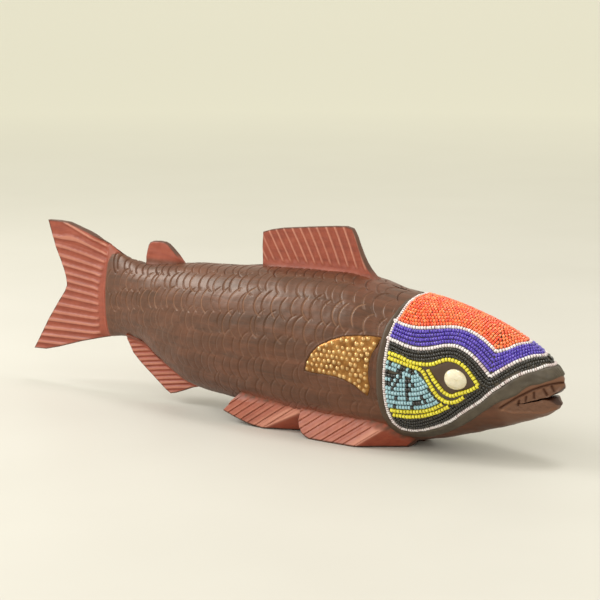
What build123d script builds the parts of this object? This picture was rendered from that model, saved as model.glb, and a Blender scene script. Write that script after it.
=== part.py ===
from build123d import *
import math
import os

# A carved wooden fish with painted fins, an embossed brass plate behind each gill
# and a head covered in glass beads. The head points along +X, +Z is up, and the
# object is symmetric about Y = 0. It rests on its belly and its four lower fins.
# The origin is below the middle of its bounding box, on the surface it stands on.

# Body profile from the tail joint to the snout: x, top, bottom, half width
STATIONS = [
    (-158, 106, 45.5, 8),
    (-140, 106.5, 47.5, 11.5),
    (-123, 107, 44.5, 15.5),
    (-100, 109.2, 31, 20.5),
    (-75, 111.5, 19, 26),
    (-35, 113.6, 13.5, 32.5),
    (0, 116.3, 8.5, 36.5),
    (40, 117.6, 3.4, 38.5),
    (70, 117.6, 0.8, 38.8),
    (92, 114.6, 0, 38.2),
    (108, 110.2, 0.4, 37),
    (125, 108, 2.6, 35),
    (145, 105.2, 7, 32),
    (165, 100.4, 12.5, 28.8),
    (185, 94.3, 18.6, 25.2),
    (205, 86.2, 25.4, 20.8),
    (220, 78.6, 31, 16.4),
    (230, 71.5, 35.5, 12),
    (236, 65.6, 40.5, 8),
    (240, 60, 46, 3.5),
]
SECTION_POWER = 2.25          # 2 is an ellipse; higher is squarer
SECTION_POINTS = 24
BELLY_FLAT = 0.6              # planed off the belly so that it stands

SEAT_DEPTH = 3.2              # the head is cut back this far for putty and beads
BEAD_DEPTH = 2.4              # beads fill the outer part of that seat
PUTTY_RIM = 0.4               # bare putty stays this far below the wood surface
PUTTY_MARGIN = 4.5            # width of bare putty behind the bead border
STRING_WIDTH = 2.6            # one string of beads
PLATE_SHEET = 0.8             # brass sheet, flush in its seat

EYE = (171.4, 56.8)           # x and z of the eye's centre
EYE_LENGTH = 16.5
EYE_HEIGHT = 14.5
EYE_BULGE = 4.6
EYE_YAW = 10.5                # the cheek narrows towards the snout by this angle

MOUTH_CORNER = (211, 42.4)    # x and z where the slit begins
MOUTH_THROAT = (227, 45.4)    # from here the jaws part
JAW_TIPS = ((240, 53.2), (237.5, 42.4))
MOUTH_SLIT = 1.6
MOUTH_OVERRUN = (9, 3)        # the cut runs on past the tips by this much

TAIL_JOINT = -158
TAIL_TIP = -240
TAIL_ROOT_HALF = 5.5
TAIL_EDGE_HALF = 3
TAIL_WEB_HALF = 1             # the web on the back thins to this at its front end
TENON_HALF = 2.5
TENON_DEPTH = 10
TAIL_TENON = (TAIL_JOINT - 2, TAIL_JOINT + TENON_DEPTH, 62, 92)   # x and z limits
DORSAL_TENON = (2, 72, 104, 119)
ADIPOSE_TENON = (-114, -94, 100, 112)
ANAL_TENON = (-104, -84, 22, 44)

# Root height, edge height, half thickness at the root and at the edge
DORSAL_TAPER = (108, 152, 5.5, 3)
ADIPOSE_TAPER = (102, 126, 4.5, 2.5)
ANAL_TAPER = (50, 5, 5, 2.5)

SMALLEST_PIECE = 4            # slivers below this volume are left out
ALMOND_REAR = 150             # the eye's frame begins in front of this x
CHEEK_FRONT = 163             # the cheek field ends behind this x
REACH = 60                    # longer than the object's half width
ABOVE_ALL = 150               # higher than anything the head's layers reach
HEAD_STATION = 9              # the head's layers are lofted from this station on
PLATE_STATIONS = (6, 13)      # the brass plates lie between these stations

# Side-view outlines, x and z
TAIL_OUTLINE = [(-126, 107.4), (-136.8, 109), (-146.2, 112.9), (-158.4, 119.3), (-178.9, 127),
                (-199.9, 133.1), (-221.6, 133.5), (-214, 112), (-205, 93), (-202.8, 81.5),
                (-211.5, 69.5), (-223.5, 53), (-240, 27), (-227, 27.5), (-188.5, 38.2), (-158, 45.5),
                (-158, 103), (-126, 103)]
DORSAL_OUTLINE = [(-9, 108), (-9, 140.8), (8, 144.7), (32, 147.4), (64, 150.3), (69.5, 149.2),
                  (74, 140.5), (78, 130.5), (84.5, 120.5), (93, 113), (93, 108)]
ADIPOSE_OUTLINE = [(-121, 102), (-120.4, 113), (-118.4, 121.6), (-113.8, 124.8), (-101.8, 125),
                   (-96.6, 121.8), (-83.7, 111.4), (-83.7, 102)]
ANAL_OUTLINE = [(-139.8, 52), (-139.8, 47), (-135, 35.3), (-123, 24.8), (-110, 15.2), (-98.3, 7.4),
                (-87.4, 10.4), (-76.5, 14.7), (-66, 17.5), (-66, 30), (-110, 52)]
PECTORAL_SIDE = [(44, 24), (44.5, 10), (48.5, 3), (56, 0), (126, 0), (134, 9), (134, 24)]
PELVIC_SIDE = [(-12, 24), (-27, 8.5), (-12, 3.6), (8, 0), (44.5, 0), (44.5, 24)]
PECTORAL_FRONT = [(-6, 0), (-37.5, 0), (-29, 24), (-6, 24)]
PELVIC_FRONT = [(-6, 0), (-29.5, 0), (-28.5, 24), (-6, 24)]
PECTORAL_BEVEL = [(95.6, -36.6, 0), (118.6, -31, 15.5), (122, -18, 0)]
PELVIC_BEVEL = [(9, -29.5, 0), (44, -28.8, 17), (38, -18, 0)]

BORDER = [(130, 112), (127.5, 106.5), (125.3, 97), (122.3, 89), (120.5, 78), (119.2, 66),
          (118.8, 54), (119, 41), (120.2, 28), (122.8, 20), (127.5, 15.8), (136, 14.8),
          (149, 18.2), (163.5, 25.3), (176, 34), (188, 43), (197, 51), (206, 58),
          (215, 63.8), (224, 67.8), (233, 70.4), (242, 72)]
UPPER_WHITE = [(118, 93), (125, 91.4), (132, 89.6), (142, 89), (154, 90.2), (166, 91.2),
               (176, 89.6), (186, 85.2), (193, 80.9), (197.5, 77.4)]
UPPER_SNOUT = [(197.5, 77.4), (203.5, 79.7), (208, 82), (213, 86)]
LOWER_WHITE = [(115, 81), (121, 80), (128, 78.4), (134, 76.4), (143, 75.3), (152, 76.4),
               (161, 78.8), (170, 79.2), (178, 76.3), (185, 71.6), (190.5, 66.3), (195.5, 60.8)]
LOWER_SNOUT = [(195.5, 60.8), (202, 65.6), (210, 71), (217, 74.6), (226, 77), (232, 78)]
YELLOW_EYE = [(115, 72), (122, 70.4), (130, 68.6), (138, 66), (147, 65.1), (155, 66), (160, 68.4),
              (165, 69.9), (171.5, 69.1), (178, 65.8), (183, 59.8), (188, 53.4)]
YELLOW_UNDER_EYE = [(188, 53.4), (181, 49.7), (174, 47), (168.5, 45), (163, 47), (157.5, 52.8),
                    (153.7, 57.8), (150.5, 62.5)]
YELLOW_CHEEK = [(115, 69), (122, 67.2), (130, 65.3), (140, 62.7), (146, 61), (150, 56.5),
                (154, 49.8), (159, 43), (165, 40), (171.5, 41.2), (177.4, 45.6)]
YELLOW_LOW_1 = [(115, 30), (122, 29.6), (131, 29.6), (145.6, 31.2), (155.4, 34.7), (162, 39.4)]
YELLOW_LOW_2 = [(115, 27), (123.3, 26.4), (132.6, 25.7), (144, 27.2), (155.7, 31.4), (166, 37.4)]

PUTTY_LIP = [(242, 66), (237, 63), (229.5, 59), (220, 55.8), (213, 50), (202, 43.6), (191, 36.6),
             (178, 27), (163, 18), (148, 12), (135, 9.6), (124, 10.4)]

PLATE_TOP = [(53.5, 50.5), (57, 60.5), (65, 69.3), (76, 75.2), (89, 79.2), (102, 80.4), (115, 80.2)]
PLATE_FRONT = [(115, 80.2), (109.6, 70), (106.6, 60), (106.6, 50), (107.6, 44), (106, 38)]
PLATE_BOTTOM = [(106, 38), (97, 43.8), (88, 47.8), (76, 49.8), (53.5, 50.5)]


def hermite(x, column):
    """Smooth value of one profile column at x, through every station."""
    knots = [s[0] for s in STATIONS]
    values = [s[column] for s in STATIONS]
    last = len(knots) - 1
    i = max(0, min(last - 1, sum(k < x for k in knots) - 1))

    def secant(j):
        return (values[j + 1] - values[j]) / (knots[j + 1] - knots[j])

    def slope(j):
        if j in (0, last):
            return secant(min(j, last - 1))
        before, after = knots[j] - knots[j - 1], knots[j + 1] - knots[j]
        return (after * secant(j - 1) + before * secant(j)) / (before + after)

    h = knots[i + 1] - knots[i]
    t = (x - knots[i]) / h
    return ((2 * t**3 - 3 * t**2 + 1) * values[i] + (t**3 - 2 * t**2 + t) * h * slope(i)
            + (3 * t**2 - 2 * t**3) * values[i + 1] + (t**3 - t**2) * h * slope(i + 1))


def section(x, inset):
    """Closed cross-section of the body at x, moved inwards by the inset."""
    top, bottom = hermite(x, 1) - inset, hermite(x, 2) + inset
    half = hermite(x, 3) - inset
    middle, rise = (top + bottom) / 2, (top - bottom) / 2
    points = []
    for k in range(SECTION_POINTS):
        angle = 2 * math.pi * (k + 0.5) / SECTION_POINTS
        c, s = math.cos(angle), math.sin(angle)
        y = half * math.copysign(abs(c) ** (2 / SECTION_POWER), c)
        z = middle + rise * math.copysign(abs(s) ** (2 / SECTION_POWER), s)
        points.append(Vector(x, y, z))
    return Face(Wire(Spline(*points, periodic=True)))


def hull(inset=0.0, first=0, last=len(STATIONS)):
    """Smooth solid through the stations' sections, moved inwards by the inset."""
    return loft([section(s[0], inset) for s in STATIONS[first:last]])


def side_face(points):
    """Flat face in the side view with straight edges."""
    return Plane.XZ * make_face(Polyline(*[(x, z) for x, z in points], close=True))


def prism(face):
    """The side-view face carried through the whole width of the object."""
    return extrude(face, REACH, both=True)


def smooth_path(points, step=2):
    """Points along a smooth curve through the given ones, a few per span."""
    curve = Spline(*[(x, z) for x, z in points])
    count = step * (len(points) - 1)
    return [(curve.position_at(i / count).X, curve.position_at(i / count).Y) for i in range(count + 1)]


def ribbon(points, width=STRING_WIDTH):
    """Side-view strip of one width along a path of points."""
    left, right = [], []
    for i, (x, z) in enumerate(points):
        ahead, behind = points[min(i + 1, len(points) - 1)], points[max(i - 1, 0)]
        dx, dz = ahead[0] - behind[0], ahead[1] - behind[1]
        length = math.hypot(dx, dz)
        nx, nz = -dz / length * width / 2, dx / length * width / 2
        left.append((x + nx, z + nz))
        right.append((x - nx, z - nz))
    return side_face(left + right[::-1])


def wedge(points_yz, x_low, x_high):
    """Front-view outline carried along the object between two x values."""
    face = Plane.YZ * make_face(Polyline(*points_yz, close=True))
    return Pos(x_low, 0, 0) * extrude(face, x_high - x_low)


def tenon(x_low, x_high, z_low, z_high):
    """Tongue of a midplane fin that goes into the body."""
    block = Box(x_high - x_low, 2 * TENON_HALF, z_high - z_low)
    return Pos((x_low + x_high) / 2, 0, (z_low + z_high) / 2) * block


def mouth():
    """Open mouth: a slit from each corner that widens between the jaw tips."""
    cx, cz = MOUTH_CORNER
    tx, tz = MOUTH_THROAT
    (ux, uz), (lx, lz) = JAW_TIPS
    half = MOUTH_SLIT / 2
    past_x, past_z = MOUTH_OVERRUN
    lower = [(cx, cz), (tx, tz - half), (lx, lz), (lx + past_x, lz - past_z)]
    upper = [(ux + past_x, uz + past_z), (ux, uz), (tx, tz + half), (cx, cz + half)]
    return prism(side_face(lower + upper))


def tail_blade(body):
    """Forked tail, thinner towards its edge."""
    web_front = TAIL_OUTLINE[0][0] + 1
    plan = [(web_front, TAIL_WEB_HALF), (TAIL_JOINT, TAIL_ROOT_HALF), (TAIL_TIP - 1, TAIL_EDGE_HALF),
            (TAIL_TIP - 1, -TAIL_EDGE_HALF), (TAIL_JOINT, -TAIL_ROOT_HALF), (web_front, -TAIL_WEB_HALF)]
    taper = extrude(make_face(Polyline(*plan, close=True)), ABOVE_ALL)
    return (prism(side_face(TAIL_OUTLINE)) & taper) - body


def upright_blade(outline, taper, body):
    """Upright or hanging fin that tapers from its root to its edge."""
    root_z, edge_z, root_half, edge_half = taper
    x_low, x_high = min(p[0] for p in outline), max(p[0] for p in outline)
    front = [(root_half, root_z), (edge_half, edge_z), (-edge_half, edge_z), (-root_half, root_z)]
    return (prism(side_face(outline)) & wedge(front, x_low - 1, x_high + 1)) - body


def lower_fin(side, front, bevel, body):
    """Fin that leans out from the belly, with its front face turned in to the body."""
    x_low, x_high = min(p[0] for p in side), max(p[0] for p in side)
    block = prism(side_face(side)) & wedge(front, x_low - 1, x_high + 1)
    corner, ridge, inner = [Vector(*p) for p in bevel]
    normal = (ridge - corner).cross(inner - corner)
    if normal.X < 0:
        normal = -normal
    return split(block, Plane(origin=corner, z_dir=normal), keep=Keep.BOTTOM) - body


def skin(region, outer_inset, inner_inset, first, last):
    """Layer between two depths below the outer surface, inside a side-view region."""
    layer = hull(outer_inset, first, last) & prism(region)
    return layer - hull(inner_inset, first, last)


def head_skin(region, outer_inset, inner_inset):
    """Layer of the head, in front of the widest part of the body."""
    return skin(region, outer_inset, inner_inset, HEAD_STATION, len(STATIONS))


def split_sides(solid):
    """The -Y half and the +Y half of a symmetric solid, and nothing between."""
    side = Box(4 * ABOVE_ALL, 2 * REACH, 4 * ABOVE_ALL)
    return solid & (Pos(0, -REACH, 0) * side), solid & (Pos(0, REACH, 0) * side)


def eye(side):
    """Domed cabochon that rests on the putty."""
    x, z = EYE
    y = side * (hermite(x, 3) - BEAD_DEPTH)
    dome = scale(Sphere(1), by=(EYE_LENGTH / 2, EYE_BULGE, EYE_HEIGHT / 2))
    placed = Pos(x, y, z) * Rot(0, 0, -side * EYE_YAW) * dome
    return placed - hull(BEAD_DEPTH, first=HEAD_STATION)


def save(name, shape):
    """Write one node."""
    shape.label = name
    export_step(shape, f"parts/{name}.step")


def bead_faces():
    """Side-view faces of the bead fields, cut so that neighbours share edges."""
    border = smooth_path(BORDER)
    inside = side_face(border + [(BORDER[-1][0], ABOVE_ALL), (BORDER[0][0], ABOVE_ALL)])
    rim = ribbon(border)
    inner = inside - rim
    upper = smooth_path(UPPER_WHITE) + smooth_path(UPPER_SNOUT)[1:]
    lower = smooth_path(LOWER_WHITE) + smooth_path(LOWER_SNOUT)[1:]
    above_upper = side_face(upper + [(upper[-1][0], ABOVE_ALL), (upper[0][0], ABOVE_ALL)])
    beyond = STATIONS[-1][0] + MOUTH_OVERRUN[1]
    above_lower = side_face(lower + [(beyond, lower[-1][1]), (beyond, ABOVE_ALL), (lower[0][0], ABOVE_ALL)])
    upper_white = ribbon(upper) & inner
    lower_white = (ribbon(lower) & inner) - upper_white
    whites = upper_white + lower_white
    crown = (inner & above_upper) - whites
    blue = (inner & above_lower) - above_upper - whites
    under = inner - above_lower - whites
    eye_top, eye_under = smooth_path(YELLOW_EYE), smooth_path(YELLOW_UNDER_EYE)
    cheek_top = smooth_path(YELLOW_CHEEK)
    low_1, low_2 = smooth_path(YELLOW_LOW_1), smooth_path(YELLOW_LOW_2)
    strings = ribbon(eye_top)
    for path in (eye_under, cheek_top, low_1, low_2):
        strings = strings + ribbon(path)
    yellow = strings & under
    almond = side_face([p for p in eye_top if p[0] > ALMOND_REAR] + eye_under[1:]) - strings
    cheek_edge = [p for p in cheek_top if p[0] < CHEEK_FRONT]
    cheek = (side_face(cheek_edge + [p for p in low_1 if p[0] < CHEEK_FRONT][::-1]) & under) - strings
    black = under - strings - almond - cheek
    return {"border": rim, "crown": crown, "upper_white": upper_white, "blue": blue,
            "lower_white": lower_white, "yellow": yellow, "almond": almond, "cheek": cheek,
            "black": black, "patch": inside + rim}


def largest(shape):
    """The shape without slivers left by cutting."""
    kept = [s for s in shape.solids() if s.volume > SMALLEST_PIECE]
    return Compound(children=kept) if len(kept) > 1 else kept[0]


def midplane_fins(carved):
    """The four fins on the midplane and the tenons that hold them."""
    tongues = {
        "tail_fin": tenon(*TAIL_TENON),
        "dorsal_fin": tenon(*DORSAL_TENON),
        "adipose_fin": tenon(*ADIPOSE_TENON),
        "anal_fin": tenon(*ANAL_TENON),
    }
    blades = {
        "tail_fin": tail_blade(carved),
        "dorsal_fin": upright_blade(DORSAL_OUTLINE, DORSAL_TAPER, carved),
        "adipose_fin": upright_blade(ADIPOSE_OUTLINE, ADIPOSE_TAPER, carved),
        "anal_fin": upright_blade(ANAL_OUTLINE, ANAL_TAPER, carved),
    }
    fins = {name: blades[name] + tongues[name] for name in blades}
    return fins, list(tongues.values())


def lower_fins(carved):
    """The pectoral and pelvic fins of both sides."""
    fins = {}
    pectoral = lower_fin(PECTORAL_SIDE, PECTORAL_FRONT, PECTORAL_BEVEL, carved)
    pelvic = lower_fin(PELVIC_SIDE, PELVIC_FRONT, PELVIC_BEVEL, carved)
    for name, fin in (("pectoral_fin", pectoral), ("pelvic_fin", pelvic)):
        fins[name + "_right"] = fin
        fins[name + "_left"] = mirror(fin, Plane.XZ)
    return fins


def main():
    """Make every node and write it."""
    os.makedirs("parts", exist_ok=True)
    belly_plane = Pos(0, 0, BELLY_FLAT - REACH) * Box(4 * ABOVE_ALL, 2 * REACH, 2 * REACH)
    carved = hull() - belly_plane - mouth()
    fins, tongues = midplane_fins(carved)
    fins.update(lower_fins(carved))

    faces = bead_faces()
    putty_region = side_face(putty_outline())
    rim = head_skin(putty_region - faces["patch"], PUTTY_RIM, SEAT_DEPTH)
    bed = head_skin(faces["patch"], BEAD_DEPTH, SEAT_DEPTH)
    save("putty_bed", largest(rim + bed))

    plate_region = side_face(smooth_path(PLATE_TOP) + smooth_path(PLATE_FRONT)[1:]
                             + smooth_path(PLATE_BOTTOM)[1:-1])
    body = carved - head_skin(putty_region, -1, SEAT_DEPTH)
    body = body - skin(plate_region, -1, PLATE_SHEET, *PLATE_STATIONS)
    for tongue in tongues:
        body = body - tongue
    save("body", body)
    for name, fin in fins.items():
        save(name, fin)

    for field in ("border", "crown", "upper_white", "blue", "lower_white"):
        save(field + "_beads", largest(head_skin(faces[field], 0, BEAD_DEPTH)))
    for field in ("black", "yellow", "cheek"):
        halves = split_sides(head_skin(faces[field], 0, BEAD_DEPTH))
        for side, half in zip(("right", "left"), halves):
            save(f"{field}_beads_{side}", largest(half))
    plates = split_sides(skin(plate_region, 0, PLATE_SHEET, *PLATE_STATIONS))
    for side, half, sign in zip(("right", "left"), plates, (-1, 1)):
        save("brass_plate_" + side, largest(half))
        save("eye_" + side, eye(sign))


def putty_outline():
    """Side-view outline of all the putty: behind the border, along the lip and beyond the top."""
    margin = STRING_WIDTH / 2 + PUTTY_MARGIN
    behind = [(x - margin, z) for x, z in BORDER[:9]]
    front = PUTTY_LIP[0][0] + margin
    over = [(front, PUTTY_LIP[0][1]), (front, ABOVE_ALL), (behind[0][0], ABOVE_ALL)]
    return smooth_path(behind + PUTTY_LIP[::-1]) + over


main()
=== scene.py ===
import math

import bmesh
import bpy
import numpy as np
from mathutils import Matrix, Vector


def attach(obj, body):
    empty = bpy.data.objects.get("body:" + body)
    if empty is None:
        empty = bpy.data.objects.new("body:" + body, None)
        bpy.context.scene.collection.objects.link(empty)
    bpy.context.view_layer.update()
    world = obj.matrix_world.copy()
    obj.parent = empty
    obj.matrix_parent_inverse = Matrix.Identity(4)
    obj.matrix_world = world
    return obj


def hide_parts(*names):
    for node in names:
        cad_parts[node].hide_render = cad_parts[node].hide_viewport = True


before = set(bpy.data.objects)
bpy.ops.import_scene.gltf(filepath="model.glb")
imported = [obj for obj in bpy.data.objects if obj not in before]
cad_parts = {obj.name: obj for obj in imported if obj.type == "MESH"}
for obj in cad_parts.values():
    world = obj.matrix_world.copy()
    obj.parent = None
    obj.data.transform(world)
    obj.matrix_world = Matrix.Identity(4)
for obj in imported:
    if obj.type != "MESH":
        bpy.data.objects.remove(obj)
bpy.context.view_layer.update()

# A carved wooden fish with painted fins, embossed brass gill plates and a beaded head.
# Lengths in this script are in millimetres and become metres in make_object().

MM = 0.001
TINY = 1e-9
RIGHT, LEFT = -1, 1            # sign of y on each side of the fish
SIDES = ((RIGHT, "right"), (LEFT, "left"))

# Body profile, as the CAD model has it: x, top, bottom, half width
STATIONS = np.array([
    (-158, 106, 45.5, 8), (-140, 106.5, 47.5, 11.5), (-123, 107, 44.5, 15.5),
    (-100, 109.2, 31, 20.5), (-75, 111.5, 19, 26), (-35, 113.6, 13.5, 32.5),
    (0, 116.3, 8.5, 36.5), (40, 117.6, 3.4, 38.5), (70, 117.6, 0.8, 38.8),
    (92, 114.6, 0, 38.2), (108, 110.2, 0.4, 37), (125, 108, 2.6, 35),
    (145, 105.2, 7, 32), (165, 100.4, 12.5, 28.8), (185, 94.3, 18.6, 25.2),
    (205, 86.2, 25.4, 20.8), (220, 78.6, 31, 16.4), (230, 71.5, 35.5, 12),
    (236, 65.6, 40.5, 8), (240, 60, 46, 3.5)], float)
SECTION_POWER = 2.25
BELLY_FLAT = 0.6
SPREAD = 40                    # mm for each radian where the surface is drawn flat
TAIL_JOINT, SNOUT = STATIONS[0, 0], STATIONS[-1, 0]

# Mouth slit, seen from the side: x and height of the upper and of the lower edge
MOUTH_CORNER = 212
MOUTH_UPPER = [(212, 42.4), (218, 44.0), (229.5, 48), (233.2, 49), (237.4, 52.2), (240, 54)]
MOUTH_LOWER = [(212, 42.2), (218, 43.2), (229.5, 46.4), (232.5, 46.2), (236.4, 43), (240, 41)]
MOUTH_ROW = 2.0                # angle from the top at which the slit's rows run back
THROAT = 226                   # in front of this the slit goes right through
THROAT_CORE = 3

# Bead strings on the right side, from the rear forwards: (x, z) on the flank, (x, y, TOP) on the back
TOP = "top"
BORDER = [(128.9, 0, TOP), (128.2, -5, TOP), (126.6, -15, TOP), (125, -23.3, TOP), (122.4, 89.6),
          (120.7, 80), (119.6, 68), (118.8, 55), (118.9, 41), (120, 28.4), (122.6, 20), (127, 15.8),
          (136, 14.9), (149, 18.4), (163.5, 25.2), (176, 34.2), (188, 42.8), (197, 51.1), (206, 58.1),
          (215.2, 64), (224.2, -12.3, TOP), (230.6, -4.5, TOP), (232, 0, TOP)]
UPPER_BACK = [(121, 92.8), (125, 91.6), (131, 89.9), (142, 89.1), (154, 90.3), (166.5, 91.1), (176, 89.5),
              (186, 85.3), (193, 80.9), (197.5, 77.6)]
UPPER_FRONT = [(197.5, 77.6), (204, -14.7, TOP), (208.6, -9, TOP), (212, -3, TOP), (212.8, 0, TOP)]
LOWER_BACK = [(119, 81), (122, 80), (128, 78.4), (134, 76.5), (143, 75.3), (152, 76.4), (161, 78.8),
              (170, 79.2), (178, 76.3), (185, 71.6), (190.5, 66.3), (195.5, 60.9)]
LOWER_FRONT = [(195.5, 60.9), (202, 65.6), (210, 71.1), (217.2, -12, TOP), (223.6, -4, TOP), (225, 0, TOP)]
YELLOW_EYE = [(121.5, 70.8), (130, 68.8), (138, 66), (147, 65.1), (155, 66), (160, 68.4), (165, 69.9),
              (171.5, 69.1), (178, 65.6), (183, 59.8), (187.6, 53.8)]
YELLOW_UNDER_EYE = [(187.6, 53.8), (181, 49.8), (174, 47.1), (168.3, 44.9), (163, 47), (157.5, 52.8),
                    (153.7, 57.8), (151, 62)]
YELLOW_CHEEK = [(121.5, 67.4), (130, 65.3), (139.7, 62.7), (146, 61.2), (150, 56.5), (153.8, 49.8),
                (159, 43), (165, 40), (171.5, 41.1), (177.4, 45.2)]
YELLOW_LOW_1 = [(122, 29.7), (131, 29.6), (145.6, 31.2), (155.4, 34.7), (161.5, 38.4)]
YELLOW_LOW_2 = [(123.3, 26.5), (132.6, 25.8), (144, 27.3), (155.7, 31.4), (166, 37)]
PUTTY_MARGIN = 5.5             # bare putty behind the border
PUTTY_LIP = [(243, 66), (237.5, 63), (229.4, 59), (220.4, 56.6), (213.5, 50.4), (200, 43.4), (191, 36.8),
             (178, 27), (163, 18), (148, 11.6), (135, 9.6), (123, 11)]
EYE_CENTRE = (171.4, 56.8)
EYE_HALF = (8.3, 7.3, 4.4)     # half length, half height and bulge
EYE_AROUND = 48

PLATE = np.array([(53.5, 50.5), (55.5, 57.5), (59.5, 63.8), (65.5, 69.5), (76, 75), (86, 78.4), (97, 80),
                  (106, 80.6), (115, 80.3), (112.6, 75.5), (109.2, 69.5), (107, 63), (106.4, 56),
                  (106.8, 49.5), (107.8, 44.5), (105.4, 38.2), (100, 41.6), (94, 45.2), (88, 47.7),
                  (80, 49.2), (70, 49.9), (60, 49.6)])

rng = np.random.default_rng(20)


# ---------------------------------------------------------------- curves and surface

def fade(value, low, high):
    """0 at low, 1 at high, smooth between; low may be above high."""
    u = np.clip((value - low) / (high - low), 0, 1)
    return u * u * (3 - 2 * u)


def bell(distance, width):
    """1 at no distance, falling off smoothly over a width."""
    return np.exp(-((distance / width) ** 2))


def signed_power(value, power):
    """Power that keeps the sign."""
    return np.sign(value) * np.abs(value) ** power


def hermite(knots, values, x):
    """Smooth curve through every knot, by the same rule as the CAD body."""
    x = np.asarray(x, float)
    gaps = np.diff(knots)
    secants = np.diff(values) / gaps
    inner = (gaps[1:] * secants[:-1] + gaps[:-1] * secants[1:]) / (gaps[1:] + gaps[:-1])
    slopes = np.concatenate([secants[:1], inner, secants[-1:]])
    i = np.clip(np.searchsorted(knots, x) - 1, 0, len(gaps) - 1)
    h = gaps[i]
    u = (x - knots[i]) / h
    return ((2 * u**3 - 3 * u**2 + 1) * values[i] + (u**3 - 2 * u**2 + u) * h * slopes[i]
            + (3 * u**2 - 2 * u**3) * values[i + 1] + (u**3 - u**2) * h * slopes[i + 1])


def back_line(x):
    """Height of the back at x."""
    return hermite(STATIONS[:, 0], STATIONS[:, 1], x)


def belly_line(x):
    """Height of the belly at x."""
    return hermite(STATIONS[:, 0], STATIONS[:, 2], x)


def profile(x):
    """Middle height, half height and half width of the body at x."""
    x = np.clip(x, TAIL_JOINT, SNOUT)
    top, bottom = back_line(x), belly_line(x)
    return (top + bottom) / 2, (top - bottom) / 2, hermite(STATIONS[:, 0], STATIONS[:, 3], x)


def surface(x, t):
    """Point of the body at x and angle t from the top, counted towards the right side."""
    middle, rise, half = profile(x)
    y = -half * signed_power(np.sin(t), 2 / SECTION_POWER)
    z = middle + rise * signed_power(np.cos(t), 2 / SECTION_POWER)
    return np.stack([np.asarray(x, float) + 0 * y, y, z], -1)


def unit(v):
    """Vectors of length one."""
    return v / (np.linalg.norm(v, axis=-1, keepdims=True) + 1e-12)


def normals(x, t):
    """Outward normals of the body."""
    along = surface(x + 0.4, t) - surface(x - 0.4, t)
    around = surface(x, t + 0.02) - surface(x, t - 0.02)
    return unit(np.cross(around, along))


def angle_at(x, z):
    """Angle on the right side where the body has height z."""
    middle, rise, _ = profile(x)
    return np.arccos(np.clip(signed_power(np.clip((z - middle) / rise, -1, 1), SECTION_POWER / 2), -1, 1))


def angle_above(x, y):
    """Angle on the upper half where the body has side position y."""
    half = profile(x)[2]
    return np.arcsin(np.clip(signed_power(-y / half, SECTION_POWER / 2), -1, 1))


def reproject(points):
    """Body coordinates (x, t) of the surface nearest to some points beside it."""
    middle, rise, half = profile(points[..., 0])
    s = signed_power(-points[..., 1] / half, SECTION_POWER / 2)
    c = signed_power((points[..., 2] - middle) / rise, SECTION_POWER / 2)
    return np.stack([points[..., 0], np.arctan2(s, c)], -1)


def rounded(points, step=0.5):
    """Dense smooth curve through some points of any dimension."""
    p = np.asarray(points, float)
    chord = np.linalg.norm(np.diff(p, axis=0), axis=1)
    knots = np.concatenate([[0], np.cumsum(np.sqrt(chord))])
    count = max(8, int(chord.sum() / step))
    u = np.linspace(0, knots[-1], count)
    return np.stack([hermite(knots, p[:, k], u) for k in range(p.shape[1])], -1)


def on_body(controls):
    """Body coordinates of a string's control points."""
    return np.array([(x, angle_above(x, value) if over else angle_at(x, value))
                     for x, value, *over in controls], float)


def string_path(controls):
    """Dense smooth path on the body through a string's control points."""
    return rounded(on_body(controls) * (1, SPREAD)) / (1, SPREAD)


def length_along(points):
    """Distance from the start to each of some points."""
    steps = np.linalg.norm(np.diff(points, axis=0), axis=1)
    return np.concatenate([[0], np.cumsum(steps)])


def resample(path, step=0.6):
    """The same path on the body with evenly spaced points."""
    run = length_along(surface(path[:, 0], path[:, 1]))
    count = max(2, int(run[-1] / step) + 1)
    u = np.linspace(0, run[-1], count)
    return np.stack([np.interp(u, run, path[:, k]) for k in (0, 1)], -1)


def parallel(path, distance):
    """Path beside another one on the body, without the loops inside its corners."""
    points = surface(path[:, 0], path[:, 1])
    along = unit(np.gradient(points, axis=0))
    aside = unit(np.cross(normals(path[:, 0], path[:, 1]), along))
    moved = points + aside * distance
    apart = np.linalg.norm(moved[:, None] - points[None], axis=2).min(1)
    kept = moved[apart > abs(distance) * 0.96]
    return resample(reproject(kept)) if len(kept) > 4 else None


def segment_distance(x, z, start, end):
    """Distance to a straight segment in the side view."""
    (ax, az), (bx, bz) = start, end
    dx, dz = bx - ax, bz - az
    u = np.clip(((x - ax) * dx + (z - az) * dz) / (dx * dx + dz * dz + TINY), 0, 1)
    return np.hypot(x - ax - u * dx, z - az - u * dz)


def line_distance(x, z, line):
    """Distance to an open line in the side view."""
    return np.min([segment_distance(x, z, a, b) for a, b in zip(line[:-1], line[1:])], axis=0)


def signed_distance(x, z, outline):
    """Distance to a closed outline in the side view, negative inside it."""
    loop = np.asarray(outline, float)
    loop = np.concatenate([loop, loop[:1]])
    inside = np.zeros(np.shape(x), bool)
    for (ax, az), (bx, bz) in zip(loop[:-1], loop[1:]):
        dx, dz = bx - ax, bz - az
        crosses = (az > z) != (bz > z)
        inside ^= crosses & (x < ax + (z - az) * dx / (dz if abs(dz) > TINY else TINY))
    best = line_distance(x, z, loop)
    return np.where(inside, -best, best)


def waves(a, b, period, seed, count=7):
    """Smooth random undulation between about -1 and 1."""
    own = np.random.default_rng(seed)
    total = 0
    for _ in range(count):
        angle, phase = own.uniform(0, 2 * np.pi, 2)
        k = 2 * np.pi / (period * own.uniform(0.6, 1.6))
        total = total + np.sin(k * (a * np.cos(angle) + b * np.sin(angle)) + phase)
    return total / math.sqrt(count)


# ---------------------------------------------------------------- meshes

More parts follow.
